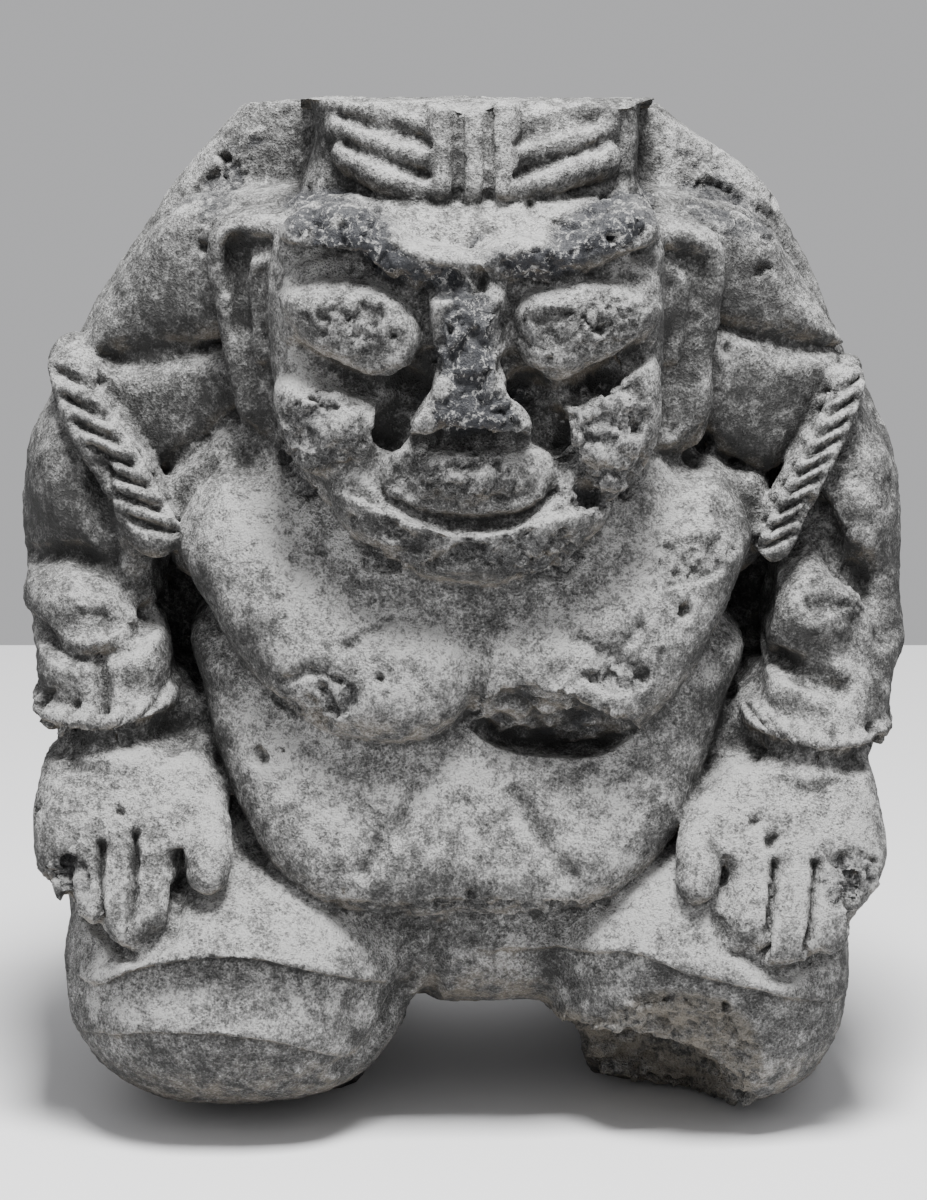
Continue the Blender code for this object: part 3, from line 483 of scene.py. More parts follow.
def ears():
    """Long flat ears, each with a rim and an inner ridge."""
    left = [(-24.8, 88), (-23.4, 90.4), (-16, 90.8), (-13, 82), (-14.5, 68.6), (-20, 68.6),
            (-22, 72), (-23, 79), (-24.4, 85)]
    left_rim = [(-17.6, -15.4, 89.8), (-22.2, -14.4, 89.4), (-23.8, -13.6, 86.6),
                (-23, -13.4, 81.5), (-22.2, -13.4, 76.5), (-21, -13.4, 71)]
    left_ridge = [(-17.6, -15.6, 86.2), (-20.6, -15, 85.6), (-20.6, -14.6, 81.6),
                  (-19.6, -14.4, 77)]
    right = [(16, 90), (23, 89.6), (25.4, 87), (25, 82), (24.2, 77), (24, 70.4), (22.4, 67.2),
             (15.6, 67), (13.5, 80)]
    right_rim = [(18.6, -15.4, 89), (22.6, -14.4, 88.2), (24.2, -13.6, 85.8), (23.8, -13.4, 81),
                 (23, -13.4, 76), (22.8, -13.4, 71), (20.6, -14, 68.4)]
    right_ridge = [(18.6, -15.6, 85.6), (20.8, -15, 84.6), (21, -14.6, 81.6), (20.2, -14.4, 77)]
    return [
        pad(left, -11.8, 2.4, 4, square=6),
        roll(left_rim, 1.15),
        roll(left_ridge, 0.75),
        ball((-18, -12.5, 84), (3.4, 3.4, 6.6)),
        pad(right, -11.8, 2.4, 4, square=6),
        roll(right_rim, 1.15),
        roll(right_ridge, 0.75),
        ball((19, -12.5, 83), (3.4, 3.4, 6.6)),
    ]


def hair_bow():
    """The hair, tied over the brow in a knot with a looped band on each side."""
    knot = [(-3.4, 107), (-3.4, 98), (-2.8, 93.4), (0.8, 92.6), (4.4, 93.4), (5, 98), (5, 107)]
    under = [(-13.4, 107), (-13, 98), (-10, 94), (0, 92.4), (10, 94), (14, 96), (14.4, 107)]
    shapes = [
        pad(knot, -12.6, 6.2, 0, square=4.4, lean=(0, 0.2)),
        pad(under, -10.6, 5.8, 0, square=4, lean=(0, 0.2)),
    ]
    for x, bottom in ((-2, 94), (0.9, 93.8), (3.8, 94)):
        shapes.append(roll([(x, -17, 104), (x, -18.4, 99), (x, -19.5, bottom)], 1.42))
    for outer, middle, inner, width in (
        ((-11.8, -13, 101.6), (-7.2, -15.6, 100.4), (-3, -17, 99.6), 1.5),
        ((-11.8, -14, 99.2), (-7.2, -16.8, 97.7), (-3.2, -18, 96.6), 1.6),
        ((-11.2, -15, 96.6), (-7.4, -17.8, 94.8), (-4, -18.6, 93.6), 1.7),
        ((12, -13, 101.6), (8, -15.6, 100.4), (4.6, -17, 99.6), 1.5),
        ((13.4, -14, 99), (9, -16.8, 98), (4.8, -18, 96.8), 1.6),
        ((13.4, -15, 96.2), (9, -17.8, 95), (5, -18.6, 93.6), 1.7),
    ):
        shapes.append(roll([outer, middle, inner], [width, width, 0.85 * width]))
    return shapes


# Middles of the twisted cords on the upper arms, and of the bracelets' fronts
LEFT_CORD = [
    (-38.8, -6, 74.6), (-38, -8.2, 72.2), (-36.1, -11, 68.7), (-33.1, -13.2, 64.3),
    (-30.4, -14.2, 59.4),
]
RIGHT_CORD = [
    (38.2, -6.4, 73.6), (37.1, -9, 70.6), (35.2, -11.6, 67), (33, -13.2, 63), (30.6, -14.2, 58.1),
]
LEFT_RING = [
    (-42, -14, 43.4), (-39.3, -18, 42.3), (-36, -20, 41.9), (-32.6, -19, 42.1), (-29, -15, 43),
]
RIGHT_RING = [
    (28.6, -17, 41.4), (30.6, -19, 40.6), (34, -20, 39.9), (37.4, -19, 39.6), (41.6, -15, 39.8),
]


def armlets():
    """The flat band of a twisted cord down the front of each upper arm."""
    shapes = []
    for path, reach in ((LEFT_CORD, 2.55), (RIGHT_CORD, 1.75)):
        shapes.append(roll(path, reach, flat=BAND_FLAT))
        shapes.append(roll([(x, y + BAND_SUNK, z) for x, y, z in path], BAND_FILL * reach))
    return shapes


def cord_slots(path, pitch, length, slant, shift):
    """The slots between a cord's strands: short slanted (x, z) lines, shift to its right."""
    line = smooth_flat([(x + shift, z) for x, _, z in path])
    run = np.concatenate([[0], np.cumsum(np.linalg.norm(np.diff(line, axis=0), axis=1))])
    reach = 0.5 * length * np.array([math.cos(math.radians(slant)), math.sin(math.radians(slant))])
    slots = []
    for spot in np.arange(0.3 * pitch, run[-1], pitch):
        middle = np.array([np.interp(spot, run, line[:, 0]), np.interp(spot, run, line[:, 1])])
        slots.append([tuple(middle - reach), tuple(middle + reach)])
    return slots


def bracelets(winder, clay):
    """A twisted ring above each wrist; the left one is worn and ends in a knob."""
    shapes = []
    for centre, radii, tilt, pitch, thickness, slant in (
        ((-35.5, -11, 42.8), (6.0, 8.8), 0.5, 2.7, 0.86, 30),
        ((35.0, -11.4, 40.9), (6.3, 8.8), -0.9, 2.1, 0.6, 38),
    ):
        path = []
        for angle in np.linspace(0, 2 * math.pi, 12, endpoint=False):
            x, y = math.cos(angle) * radii[0], math.sin(angle) * radii[1]
            path.append((centre[0] + x, centre[1] + y, centre[2] + tilt * x / radii[0] + 0.2 * y))
        shapes.append(roll(path, RING_RADIUS, closed=True))
        shapes.append(cord(winder, clay, path, centre, pitch, thickness, STRAND_REACH, slant))
    shapes.append(ball((-41, -14.6, 42), (1.6, 1.6, 1.6)))
    return shapes


def hands():
    """Hands pressed flat on the knees, fingers down, the thumbs apart."""
    left = [
        (-40.5, 37.8), (-34, 39.4), (-27, 38.4), (-24.4, 36), (-23.2, 33.2), (-24, 31.2),
        (-27.2, 30.2), (-28, 26), (-28.4, 23), (-30, 22.2), (-31.8, 21), (-33.4, 20.8), (-35, 21.8),
        (-36.8, 22.6), (-39, 23.8), (-40.8, 25.2), (-42, 27.4), (-42.6, 31), (-42, 35),
    ]
    right = [
        (27.4, 37.8), (33, 38.6), (39.2, 37.8), (40.8, 34.6), (41.6, 30.6), (41.8, 27.8),
        (40.6, 25.2), (38.8, 23.4), (38, 21), (36.6, 19.2), (34.4, 19.2), (32.4, 18.6),
        (29.8, 18.8), (28.2, 20.2), (26, 21), (25.2, 23), (25.4, 27), (24.2, 29.4), (21.8, 30.6),
        (22, 33), (24.4, 35.6),
    ]
    return [
        pad(left, -16, 8.6, -10, square=4.4, lean=(-0.06, 0.42)),
        roll([(-25.8, -19, 33.6), (-25, -22, 31), (-24.9, -24.2, 27.9)], [2.2, 2.3, 2.1]),
        pad(right, -16, 8.6, -10, square=4.4, lean=(0.06, 0.42)),
        roll([(24.6, -19, 32.6), (23.2, -22, 30), (22.8, -24.2, 26.8)], [2.2, 2.3, 2.1]),
    ]


# What is cut away

ARCH = [
    (-10.6, -6), (-9.8, 3), (-7.6, 7.6), (-4, 10), (1, 10.6), (6, 10.8), (9.6, 9.6), (11.6, 6.8),
    (12.2, 3), (12.6, -6),
]
KNEE_BREAKS = [
    dict(centre=(15, -28, -0.4), radii=(13, 19, 11.4), turn=-12, square=2.8),
    dict(centre=(20, -38, 5.4), radii=(12.6, 16.4, 12.6), turn=0, square=2.2),
]
CHIP = [
    (0.2, 42.6), (2, 45), (4, 46.6), (6.2, 46.9), (9.8, 46.2), (13.8, 44.4), (17.4, 42), (16, 40.2),
    (13, 38.9), (9.4, 38.7), (5, 39.1), (1.8, 40.4),
]
CHIP_EDGE, CHIP_LEAN = -22.6, -0.95  # depth of the chip's face at its middle, and its slope


def chip_cut():
    """What has broken off the lower edge of the right breast."""
    return pad(CHIP, CHIP_EDGE, -1.6, -40, square=2.6, lean=(0, CHIP_LEAN))


def gaps():
    """The arch between the legs, the broken knee and the hollows inside the arms."""
    return [
        slab(ARCH, 0, (60, 12), (60, 12)),
        *[ball(**one) for one in KNEE_BREAKS],
        ball((-27.4, -10, 50.4), (2.5, 8, 8.2), turn=14, square=2.4),
        ball((27.8, -10, 49.6), (2.7, 8, 8.2), turn=-12, square=2.4),
    ]


# Joining, cutting and pressing


def joined(shapes):
    """A mesh in metres that holds all the shapes, each with its faces turned outward."""
    mesh = bpy.data.meshes.new("clay")
    points, faces, start = [], [], 0
    for shape_points, shape_faces in shapes:
        points.append(shape_points * SHARE)
        faces += [tuple(i + start for i in f) for f in shape_faces]
        start += len(shape_points)
    mesh.from_pydata(np.concatenate(points).tolist(), [], faces)
    outside = bmesh.new()
    outside.from_mesh(mesh)
    bmesh.ops.recalc_face_normals(outside, faces=outside.faces)
    outside.to_mesh(mesh)
    outside.free()
    return mesh


def settled(lump):
    """The object's mesh with its modifiers put through; the object goes."""
    graph = bpy.context.evaluated_depsgraph_get()
    mesh = bpy.data.meshes.new_from_object(lump.evaluated_get(graph))
    old = lump.data
    bpy.data.objects.remove(lump)
    bpy.data.meshes.remove(old)
    return mesh


def fused(shapes, cell, rounds):
    """One closed skin over all the shapes, with the seams between them rubbed smooth."""
    lump = bpy.data.objects.new("clay", joined(shapes))
    bpy.context.scene.collection.objects.link(lump)
    join = lump.modifiers.new("one skin", "REMESH")
    join.mode = "VOXEL"
    join.voxel_size = cell
    rub = lump.modifiers.new("rubbed", "SMOOTH")
    rub.factor = 0.5
    rub.iterations = rounds
    return settled(lump)


def carved(mesh, cutters):
    """The mesh with the cutters' volumes taken away."""
    body = bpy.data.objects.new("body", mesh)
    knife = bpy.data.objects.new("knife", fused(cutters, SEAM_GRAIN, 1))
    for item in (body, knife):
        bpy.context.scene.collection.objects.link(item)
    cut = body.modifiers.new("cut away", "BOOLEAN")
    cut.object = knife
    cut.operation = "DIFFERENCE"
    cut.solver = "EXACT"
    result = settled(body)
    bpy.data.objects.remove(knife)
    return result


def vertex_array(mesh, name):
    """A vertex property of the mesh, such as its places, as rows of x, y, z."""
    values = np.empty(len(mesh.vertices) * 3, np.float32)
    mesh.vertices.foreach_get(name, values)
    return values.reshape(-1, 3).astype(float)


def as_shape(mesh):
    """The mesh as (points, faces), in shares of the height."""
    return vertex_array(mesh, "co") / SHARE, [tuple(p.vertices) for p in mesh.polygons]


def creases():
    """Tool marks as (depth, half width, path of (x, z)); a depth below zero raises a ridge."""
    fingers = [
        [(-32, 31.4), (-32.1, 27), (-32.3, 21.8)],
        [(-35.3, 30.4), (-35.4, 27), (-35.4, 22.6)],
        [(-38.6, 29), (-38.7, 27), (-38.9, 24.2)],
        [(30.4, 28.6), (30, 25), (29.2, 20)],
        [(34.3, 28.6), (34, 25), (33.4, 20)],
        [(37.9, 27), (37.8, 25), (37.8, 22)],
    ]
    marks = [(1.6, 0.36, path) for path in fingers]
    for depth, width, path, pitch, length, slant, shift in (
        (1.15, 0.4, LEFT_CORD, 2.6, 4.7, -16, 0.4),
        (0.8, 0.36, LEFT_RING, 2.7, 2.2, 48, 0),
        (0.7, 0.32, RIGHT_RING, 2.0, 2.2, -42, 0),
        (0.95, 0.32, RIGHT_CORD, 2.0, 3.6, 22, -0.2),
    ):
        slots = cord_slots(path, pitch, length, slant, shift)
        marks += [(depth, width, slot) for slot in slots]
    marks += [
        # under the eyes and beside the nose
        (1.1, 0.8, [(-15.8, 79), (-12, 76.7), (-8, 75.6), (-4.6, 76.2), (-3.3, 78.6)]),
        (1.1, 0.8, [(4.3, 78.2), (5.8, 76), (9, 75.2), (13, 76.6), (17, 79)]),
        (2.2, 1.1, [(-5, 76), (-6.4, 73.6), (-7, 71.2)]),
        (2.2, 1.1, [(6, 76), (7.8, 73.6), (8.4, 71)]),
        # round the mouth
        (0.9, 0.8, [(-7.4, 70.2), (-8.4, 67.8), (-8, 66.2)]),
        (0.9, 0.8, [(9.2, 69.6), (9.4, 67.6), (8.6, 66)]),
        (1.2, 0.5, [(-7.6, 65.2), (-3.6, 63.4), (1, 62.9), (5.4, 63.4), (9, 65.4)]),
        (1.0, 0.7, [(-4.8, 70.6), (0.6, 70.9), (6.6, 70.6)]),
        # strands of the hair bow
        (0.6, 0.4, [(-11.4, 97.9), (-7.2, 96.2), (-3.6, 95.1)]),
        (0.6, 0.4, [(-11.8, 100.4), (-7.2, 99.1), (-3.4, 98.1)]),
        (0.6, 0.4, [(13, 97.6), (9, 96.5), (5.2, 95.2)]),
        (0.6, 0.4, [(12.8, 100.3), (9, 99.2), (5.2, 98.2)]),
        (0.6, 0.4, [(-0.5, 102), (-0.5, 93.6)]),
        (0.6, 0.4, [(2.4, 102), (2.4, 93.6)]),
        # between the breasts
        (0.5, 1.4, [(0.9, 49), (1, 43.4)]),
        # creases of the arms
        (1.0, 0.8, [(-43.4, 55.6), (-39.6, 56.6), (-36, 56), (-33, 53.8), (-31, 51.6)]),
        (1.6, 1.1, [(-35.8, 66), (-36, 61), (-34.6, 57)]),
        (1.6, 0.75, [(-35.5, 47.6), (-35.3, 43.4)]),
        (1.3, 0.8, [(-42.8, 49.8), (-39, 47.9), (-35.8, 47.4), (-32.6, 49), (-30.4, 51)]),
        (1.9, 1.2, [(34.8, 61), (36.6, 57.4), (40.6, 54), (42.4, 49)]),
        (1.7, 1.0, [(30.6, 47), (34, 45.8), (37, 44.4)]),
        # the left ear and the hanging cloth
        (1.0, 0.9, [(-22, 88.2), (-21.6, 80)]),
        (0.9, 0.9, [(-5.2, 21), (-5.8, 15), (-9, 9.6), (-12, 7.4)]),
        (0.9, 0.9, [(-2.4, 20.6), (-3, 14), (-4.6, 10.4)]),
        # below the bracelets, and under the jaw
        (2.1, 1.3, [(-41.4, 39.4), (-34, 40.2), (-27.4, 40)]),
        (1.8, 1.3, [(28, 38.6), (34, 38.6), (41, 38)]),
        (1.0, 2.2, [(-21, 68), (-17.6, 61), (-10.8, 55), (1, 52.4), (11.8, 54.4), (18.6, 60.8),
                    (22.4, 68)]),
        # under the fingertips
        (1.0, 0.6, [(-41.6, 25.4), (-39.4, 23.1), (-37, 21.8), (-35.2, 21), (-33.4, 20),
                    (-31.6, 20.1), (-29.8, 21.4), (-28.1, 22.8), (-27.7, 26)]),
        (1.0, 0.6, [(41.6, 24.8), (39.4, 22.6), (38.4, 20.2), (36.4, 18.5), (34.4, 18.5),
                    (32.2, 17.9), (29.6, 18.1), (27.8, 19.6), (25.6, 20.4), (24.6, 23)]),
        # the belly's folds, and scratches on the breasts
        (0.8, 0.9, [(-4.6, 35.6), (-6.6, 32), (-9.6, 28.2)]),
        (0.75, 0.9, [(5, 35.2), (7.4, 31.4), (10.4, 27.6)]),
        (0.45, 0.45, [(-11.6, 50), (-9.4, 51.4), (-7.2, 53)]),
        (0.6, 0.4, [(-17.4, 46.6), (-14.6, 48), (-12, 47.2)]),
        (0.5, 0.4, [(-14.6, 48), (-13.4, 45.6), (-12.6, 43.6)]),
        (0.45, 0.45, [(11, 51), (14.4, 49.8), (17, 52)]),
        (0.4, 0.4, [(13, 50), (13.8, 47.6), (16, 46)]),
        (0.45, 0.45, [(17, 52.6), (17.6, 49), (17.2, 46.6)]),
    ]
    return marks


def cloth_folds():
    """Edges of cloth that lap over what is below them: (rise, reach, path of (x, z))."""
    return [
        (2.5, 5, [(-41, 16), (-36, 16.6), (-30.2, 19.4), (-22.3, 20.4), (-16, 19.2), (-10, 17),
                  (-5.4, 14.6)]),
        (2.3, 5, [(-39, 9.8), (-34, 11.6), (-28.3, 12.8), (-20.5, 12.2), (-14.6, 10.4), (-10, 8)]),
        (2.0, 4, [(1, 18.4), (9.7, 18.8), (16, 20), (22, 18.4), (29.2, 16.4), (34, 14.6),
                  (39.4, 12.4)]),
    ]


def smooth_flat(path):
    """A smooth curve through the (x, z) points of a path in the front view."""
    line = smooth_path([(x, 0.0, z) for x, z in path], steps=RIM_STEPS)
    return line[:, [0, 2]]


def front_distance(points, path):
    """Each point's distance from a path in the front view, its side (1 above), its share along."""
    knots = np.array(path, float)
    lengths = np.linalg.norm(np.diff(knots, axis=0), axis=1)
    starts = np.concatenate([[0], np.cumsum(lengths)])
    best = np.full(len(points), np.inf)
    side = np.zeros(len(points))
    share = np.zeros(len(points))
    flat = points[:, [0, 2]]
    for a, b, run, start in zip(knots[:-1], knots[1:], lengths, starts):
        way = (b - a) / run
        offset = flat - a
        along = np.clip(offset @ way, 0, run)
        gap = offset - along[:, None] * way
        distance = np.hypot(gap[:, 0], gap[:, 1])
        closer = distance < best
        best[closer] = distance[closer]
        side[closer] = np.sign(way[0] * offset[:, 1] - way[1] * offset[:, 0])[closer]
        share[closer] = (start + along[closer]) / starts[-1]
    return best, side, share


def engraved(points, normals, marks, folds):
    """The points moved by the tool marks and the cloth edges, on the front only."""
    move = np.zeros_like(points)
    front = np.clip((0.1 - normals[:, 1]) * 3, 0, 1)
    for depth, width, path in marks:
        distance, _, _ = front_distance(points, smooth_flat(path))
        fade = np.clip(1 - (distance / (MARK_REACH * width)) ** 2, 0, 1) ** 2
        move -= normals * (depth * fade * front)[:, None]
    for rise, reach, path in folds:
        distance, side, share = front_distance(points, smooth_flat(path))
        above = np.clip(0.5 + 2 * side * distance / FOLD_EDGE, 0, 1)
        fade = above * np.exp(-distance / reach) * np.sin(math.pi * share) ** 0.4
        fade[distance > 3 * reach] = 0
        move[:, 1] -= rise * fade * front
    return points + move


# Wear: flakes, pits and broken faces


def hashed(cells, seed):
    """A random value from 0 to 1 for each row of three whole numbers."""
    mixed = cells[:, 0] * 73856093 ^ cells[:, 1] * 19349663
    mixed = (mixed ^ cells[:, 2] * 83492791 ^ seed * 961748927) & 0xFFFFFFFF
    mixed = (mixed ^ mixed >> 15) * 0x2C1B3C6D & 0xFFFFFFFF
    mixed = (mixed ^ mixed >> 12) * 0x297A2D39 & 0xFFFFFFFF
    return (mixed ^ mixed >> 15) / 0xFFFFFFFF


def blotches(points, cell, seed):
    """Soft random values from 0 to 1 that change over about one cell."""
    spot = points / cell
    corner = np.floor(spot).astype(np.int64)
    part = spot - corner
    part = part * part * (3 - 2 * part)
    value = np.zeros(len(points))
    for i in (0, 1):
        for j in (0, 1):
            for k in (0, 1):
                way = np.array([i, j, k])
                near = np.abs(1 - way - part)
                value += near[:, 0] * near[:, 1] * near[:, 2] * hashed(corner + way, seed)
    return value


def shards(points, cell, seed):
    """The flat tilted facets of a fresh break, about -1 to 1; each point takes its nearest."""
    total, weight = np.zeros(len(points)), 1.0
    for layer in range(SHARD_LAYERS):
        wave = blotches(points, cell * 0.5, seed + 90 + layer) - 0.5
        bent = points + cell * 0.35 * wave[:, None]
        spot = bent / cell
        corner = np.floor(spot).astype(np.int64)
        nearest, value = np.full(len(points), np.inf), np.zeros(len(points))
        for i in (-1, 0, 1):
            for j in (-1, 0, 1):
                for k in (-1, 0, 1):
                    home = corner + np.array([i, j, k])
                    random = [hashed(home, seed + 10 * layer + part) for part in range(7)]
                    gap = spot - home - np.column_stack(random[:3])
                    distance = (gap**2).sum(1)
                    closer = distance < nearest
                    nearest[closer] = distance[closer]
                    tilt = (gap * (np.column_stack(random[3:6]) - 0.5)).sum(1)
                    value[closer] = (random[6] - 0.5 + 1.8 * tilt)[closer]
        total += weight * value
        cell, weight = cell * 0.45, weight * 0.5
    return total


def layered(points, cell, seed, layers):
    """Blotches of several sizes, each half as large and half as strong as the one before."""
    total, weight = np.zeros(len(points)), 1.0
    for layer in range(layers):
        total += weight * (blotches(points, cell, seed + layer) - 0.5)
        cell, weight = cell * 0.5, weight * 0.55
    return total


def step(values, low, high):
    """0 below low, 1 above high, and a smooth rise between."""
    share = np.clip((values - low) / (high - low), 0, 1)
    return share * share * (3 - 2 * share)


# Where the fired skin has flaked off: (x, z, half width, half height, turn in degrees, strength)
WORN_SPOTS = [
    (-12, 91, 5.6, 2.5, -4, 1.0), (-7.4, 88.2, 4.4, 2.0, -34, 1.0), (-2.6, 86, 3.4, 1.7, -12, 1.0),
    (13.4, 90.6, 5.4, 2.4, 14, 1.0), (7.6, 87.6, 4.6, 1.9, 6, 1.0), (3, 88.8, 2.8, 1.6, 0, 0.7),
    (-10.4, 82, 5.6, 3.2, -18, 0.72), (11.4, 82, 6, 3.2, 10, 0.72), (0.4, 80, 3.2, 6.4, 0, 1.0),
    (1, 73.4, 6.2, 2.8, 0, 1.0), (-13.6, 71.6, 4.6, 4.6, 0, 0.9), (13.4, 71, 4.8, 6.4, 0, 0.9),
    (-16, 66.4, 2.0, 3.4, 28, 0.9), (13.2, 66, 3.2, 3.0, 0, 1.0), (0.5, 67.4, 7.4, 3.4, 0, 0.8),
    (-4, 59.6, 7, 2.4, 8, 0.8), (6.6, 59.4, 6, 2.8, -8, 0.95), (-27, 95, 9, 6, 24, 0.75),
    (27, 94, 9, 6, -28, 0.75), (-12.4, 45.4, 3.0, 1.8, 8, 0.85), (-15.6, 43.2, 4, 1.1, -20, 0.75),
    (14.6, 47.6, 3.2, 1.9, -10, 0.8), (-40, 36, 3, 8, 0, 0.4), (0, 24, 15, 1.4, 0, 0.7),
    (-38.6, 26.4, 3, 3, 0, 1.0), (37.6, 27, 3.4, 2.6, 0, 1.0),
    (34, 19.6, 3, 1, 0, 0.7), (40, 62, 3, 12, 0, 0.3), (37, 53, 4, 3, 0, 0.7),
    (-36.4, 52, 5, 3, 0, 0.4), (22, 58, 5, 2.4, 10, 0.6), (-7.6, 62, 3, 1.6, -20, 0.7),
]


def worn_weight(points, normals):
    """How much of the fired skin has gone, from the list of worn spots, on the front."""
    weight = np.zeros(len(points))
    front = step(-normals[:, 1], -0.35, 0.1) * step(-points[:, 1], -6, 0)
    for x, z, wide, high, turn, strength in WORN_SPOTS:
        c, s = math.cos(math.radians(turn)), math.sin(math.radians(turn))
        across, up = points[:, 0] - x, points[:, 2] - z
        reach = np.hypot((c * across + s * up) / wide, (c * up - s * across) / high)
        weight = np.maximum(weight, strength * step(-reach, -1.35, -0.7))
    return weight * front


def near_break(points, breaks, reach):
    """1 on the face that a break has left, and 0 away from it."""
    nearest = np.zeros(len(points))
    for one in breaks:
        c, s = math.cos(math.radians(-one["turn"])), math.sin(math.radians(-one["turn"]))
        local = points - np.array(one["centre"])
        x, z = local[:, 0].copy(), local[:, 2].copy()
        local[:, 0], local[:, 2] = c * x - s * z, s * x + c * z
        square = one["square"]
        size = (np.abs(local / np.array(one["radii"])) ** square).sum(1) ** (1 / square)
        gap = np.abs(size - 1) * min(one["radii"])
        nearest = np.maximum(nearest, step(-gap, -reach, -0.4 * reach))
    return nearest


def inside_outline(points, outline):
    """1 for the points that lie within the outline in the front view."""
    rim = smooth_path([(x, 0.0, z) for x, z in outline], closed=True, steps=RIM_STEPS)[:, [0, 2]]
    x, z = points[:, 0], points[:, 2]
    inside = np.zeros(len(points), bool)
    for (x0, z0), (x1, z1) in zip(rim, np.roll(rim, -1, axis=0)):
        if z0 != z1:
            inside ^= ((z0 > z) != (z1 > z)) & (x < (x1 - x0) * (z - z0) / (z1 - z0) + x0)
    return inside.astype(float)


# Pits seen in the clay: (x, z, radius, depth)
PITS = [
    (1.6, 86, 1.0, 1.4), (-1.4, 81.6, 0.6, 1.0), (21.6, 53.4, 0.9, 1.6), (-19.8, 38.4, 0.9, 1.2),
    (-39.6, 27.4, 1.1, 1.6), (29.4, 84.6, 0.7, 1.0), (30, 30.4, 0.7, 1.2), (28.4, 32.4, 0.6, 0.9),
    (-33.6, 33.4, 0.6, 0.9), (-13.4, 82.6, 0.6, 0.9), (12.8, 81.2, 0.6, 0.9), (0.6, 26, 0.5, 0.8),
    (-25.6, 87, 0.6, 0.9), (26, 77, 0.6, 0.9), (-8, 47.4, 0.5, 0.8), (20.6, 57, 0.5, 0.7),
    (6.4, 92, 0.7, 0.9), (-6.6, 81, 0.4, 0.6), (8, 78.6, 0.4, 0.6), (-10.6, 63, 0.5, 0.8),
    (9.4, 62, 0.5, 0.8), (-24, 94.6, 0.7, 1.0), (25.6, 95, 0.6, 0.9), (31.4, 90, 0.6, 0.9),
]


def weathered(points, normals):
    """The points roughened, flaked and pitted, and how far each is flaked and is broken core."""
    # Where it is worn: the broken knee, the chipped breast and the flaked skin
    core = near_break(points, KNEE_BREAKS, 1.4) * step(-points[:, 2], -17.5, -15.5)
    core *= step(points[:, 0], 6.0, 9.0) * step(-normals[:, 2], -0.7, -0.3)
    flaw = inside_outline(points, CHIP)
    flaw = flaw * step(-normals[:, 2], 0.25, 0.45) * step(-points[:, 1], 17, 18)
    skin_gone = worn_weight(points, normals)
    pattern = layered(points, 3.0, 11, 5)
    flaked = skin_gone * step(pattern + 0.8 * (skin_gone - 0.55), -0.03, 0.03)
    modelled_side = 0.35 + 0.65 * step(-normals[:, 1], -0.5, 0.2)

    # The skin's own unevenness and crust
    push = 0.36 * layered(points, 6.0, 3, 2) + modelled_side * 0.2 * layered(points, 1.5, 5, 3)
    push += modelled_side * 0.17 * layered(points, 0.62, 7, 2)
    crust = step(blotches(points, 0.95, 61), 0.62, 0.86)
    crust = crust * step(layered(points, 7.0, 71, 2), -0.1, 0.2)
    push += 0.13 * crust * modelled_side

    # Facets where it is torn
    torn = skin_gone + core + flaw > 0.01
    coarse, fine = np.zeros(len(points)), np.zeros(len(points))
    coarse[torn] = shards(points[torn], 2.7, 21)
    fine[torn] = shards(points[torn] * np.array([1, 1, 1.7]), 3.4, 51)
    push -= flaked * np.clip(0.5 - 0.8 * coarse, -0.05, 1.3)
    push -= (skin_gone > 0.5) * (1 - flaked) * 0.16 * (0.5 - coarse)
    push += flaw * np.clip(coarse, -1.0, 0.5)
    on_nose = np.hypot((points[:, 0] - 0.6) / 6.4, (points[:, 2] - 78.4) / 7.4)
    deep = np.maximum(step(points[:, 2], 84.4, 86), step(-on_nose, -1.1, -0.9))
    flaked = np.maximum(flaked * (0.5 + 0.5 * deep), 0.6 * flaw * (pattern > 0.1))
    push -= core * (0.4 - 0.75 * fine - 0.35 * layered(points, 1.3, 31, 2))
    push -= core * 1.3 * step(blotches(points, 1.6, 41), 0.72, 0.84)

    for x, z, radius, depth in PITS:
        near = ((points[:, 0] - x) ** 2 + (points[:, 2] - z) ** 2) / radius**2
        ragged = 1 + 1.4 * layered(points, 0.8, 81, 2)
        hole = np.clip(1 - near * ragged, 0, 1) * (normals[:, 1] < 0)
        push -= depth * hole**0.7
    return points + normals * push[:, None], flaked, core


def neighbour_mean(values, pairs, degree, rounds):
    """The values, each made the mean of its neighbours over and over."""
    for _ in range(rounds):
        total = np.bincount(pairs[:, 0], values[pairs[:, 1]], len(values))
        total += np.bincount(pairs[:, 1], values[pairs[:, 0]], len(values))
        values = 0.5 * values + 0.5 * total / degree
    return values


def edge_pairs(mesh):
    """The two points of each edge, and how many edges meet in each point."""
    pairs = np.empty(len(mesh.edges) * 2, np.int32)
    mesh.edges.foreach_get("vertices", pairs)
    return pairs.reshape(-1, 2), np.maximum(np.bincount(pairs, minlength=len(mesh.vertices)), 1)


def rubbed(points, pairs, degree, rounds):
    """The points, each put among its neighbours over and over."""
    return np.column_stack([neighbour_mean(points[:, i], pairs, degree, rounds) for i in range(3)])


def bend_of(mesh, rounds):
    """How far each point stands out of the smoothed form, in shares; a hollow is below 0."""
    pairs, degree = edge_pairs(mesh)
    points, normals = vertex_array(mesh, "co") / SHARE, vertex_array(mesh, "normal")
    return ((points - rubbed(points, pairs, degree, rounds)) * normals).sum(1)


def put_points(mesh, points):
    """Moves the mesh's points to these places, which are in shares of the height."""
    mesh.vertices.foreach_set("co", (points * SHARE).astype(np.float32).ravel())
    mesh.update()


def put_values(mesh, name, values):
    """Stores one number for each point of the mesh under a name."""
    layer = mesh.attributes.get(name) or mesh.attributes.new(name, "FLOAT", "POINT")
    layer.data.foreach_set("value", np.asarray(values, np.float32))


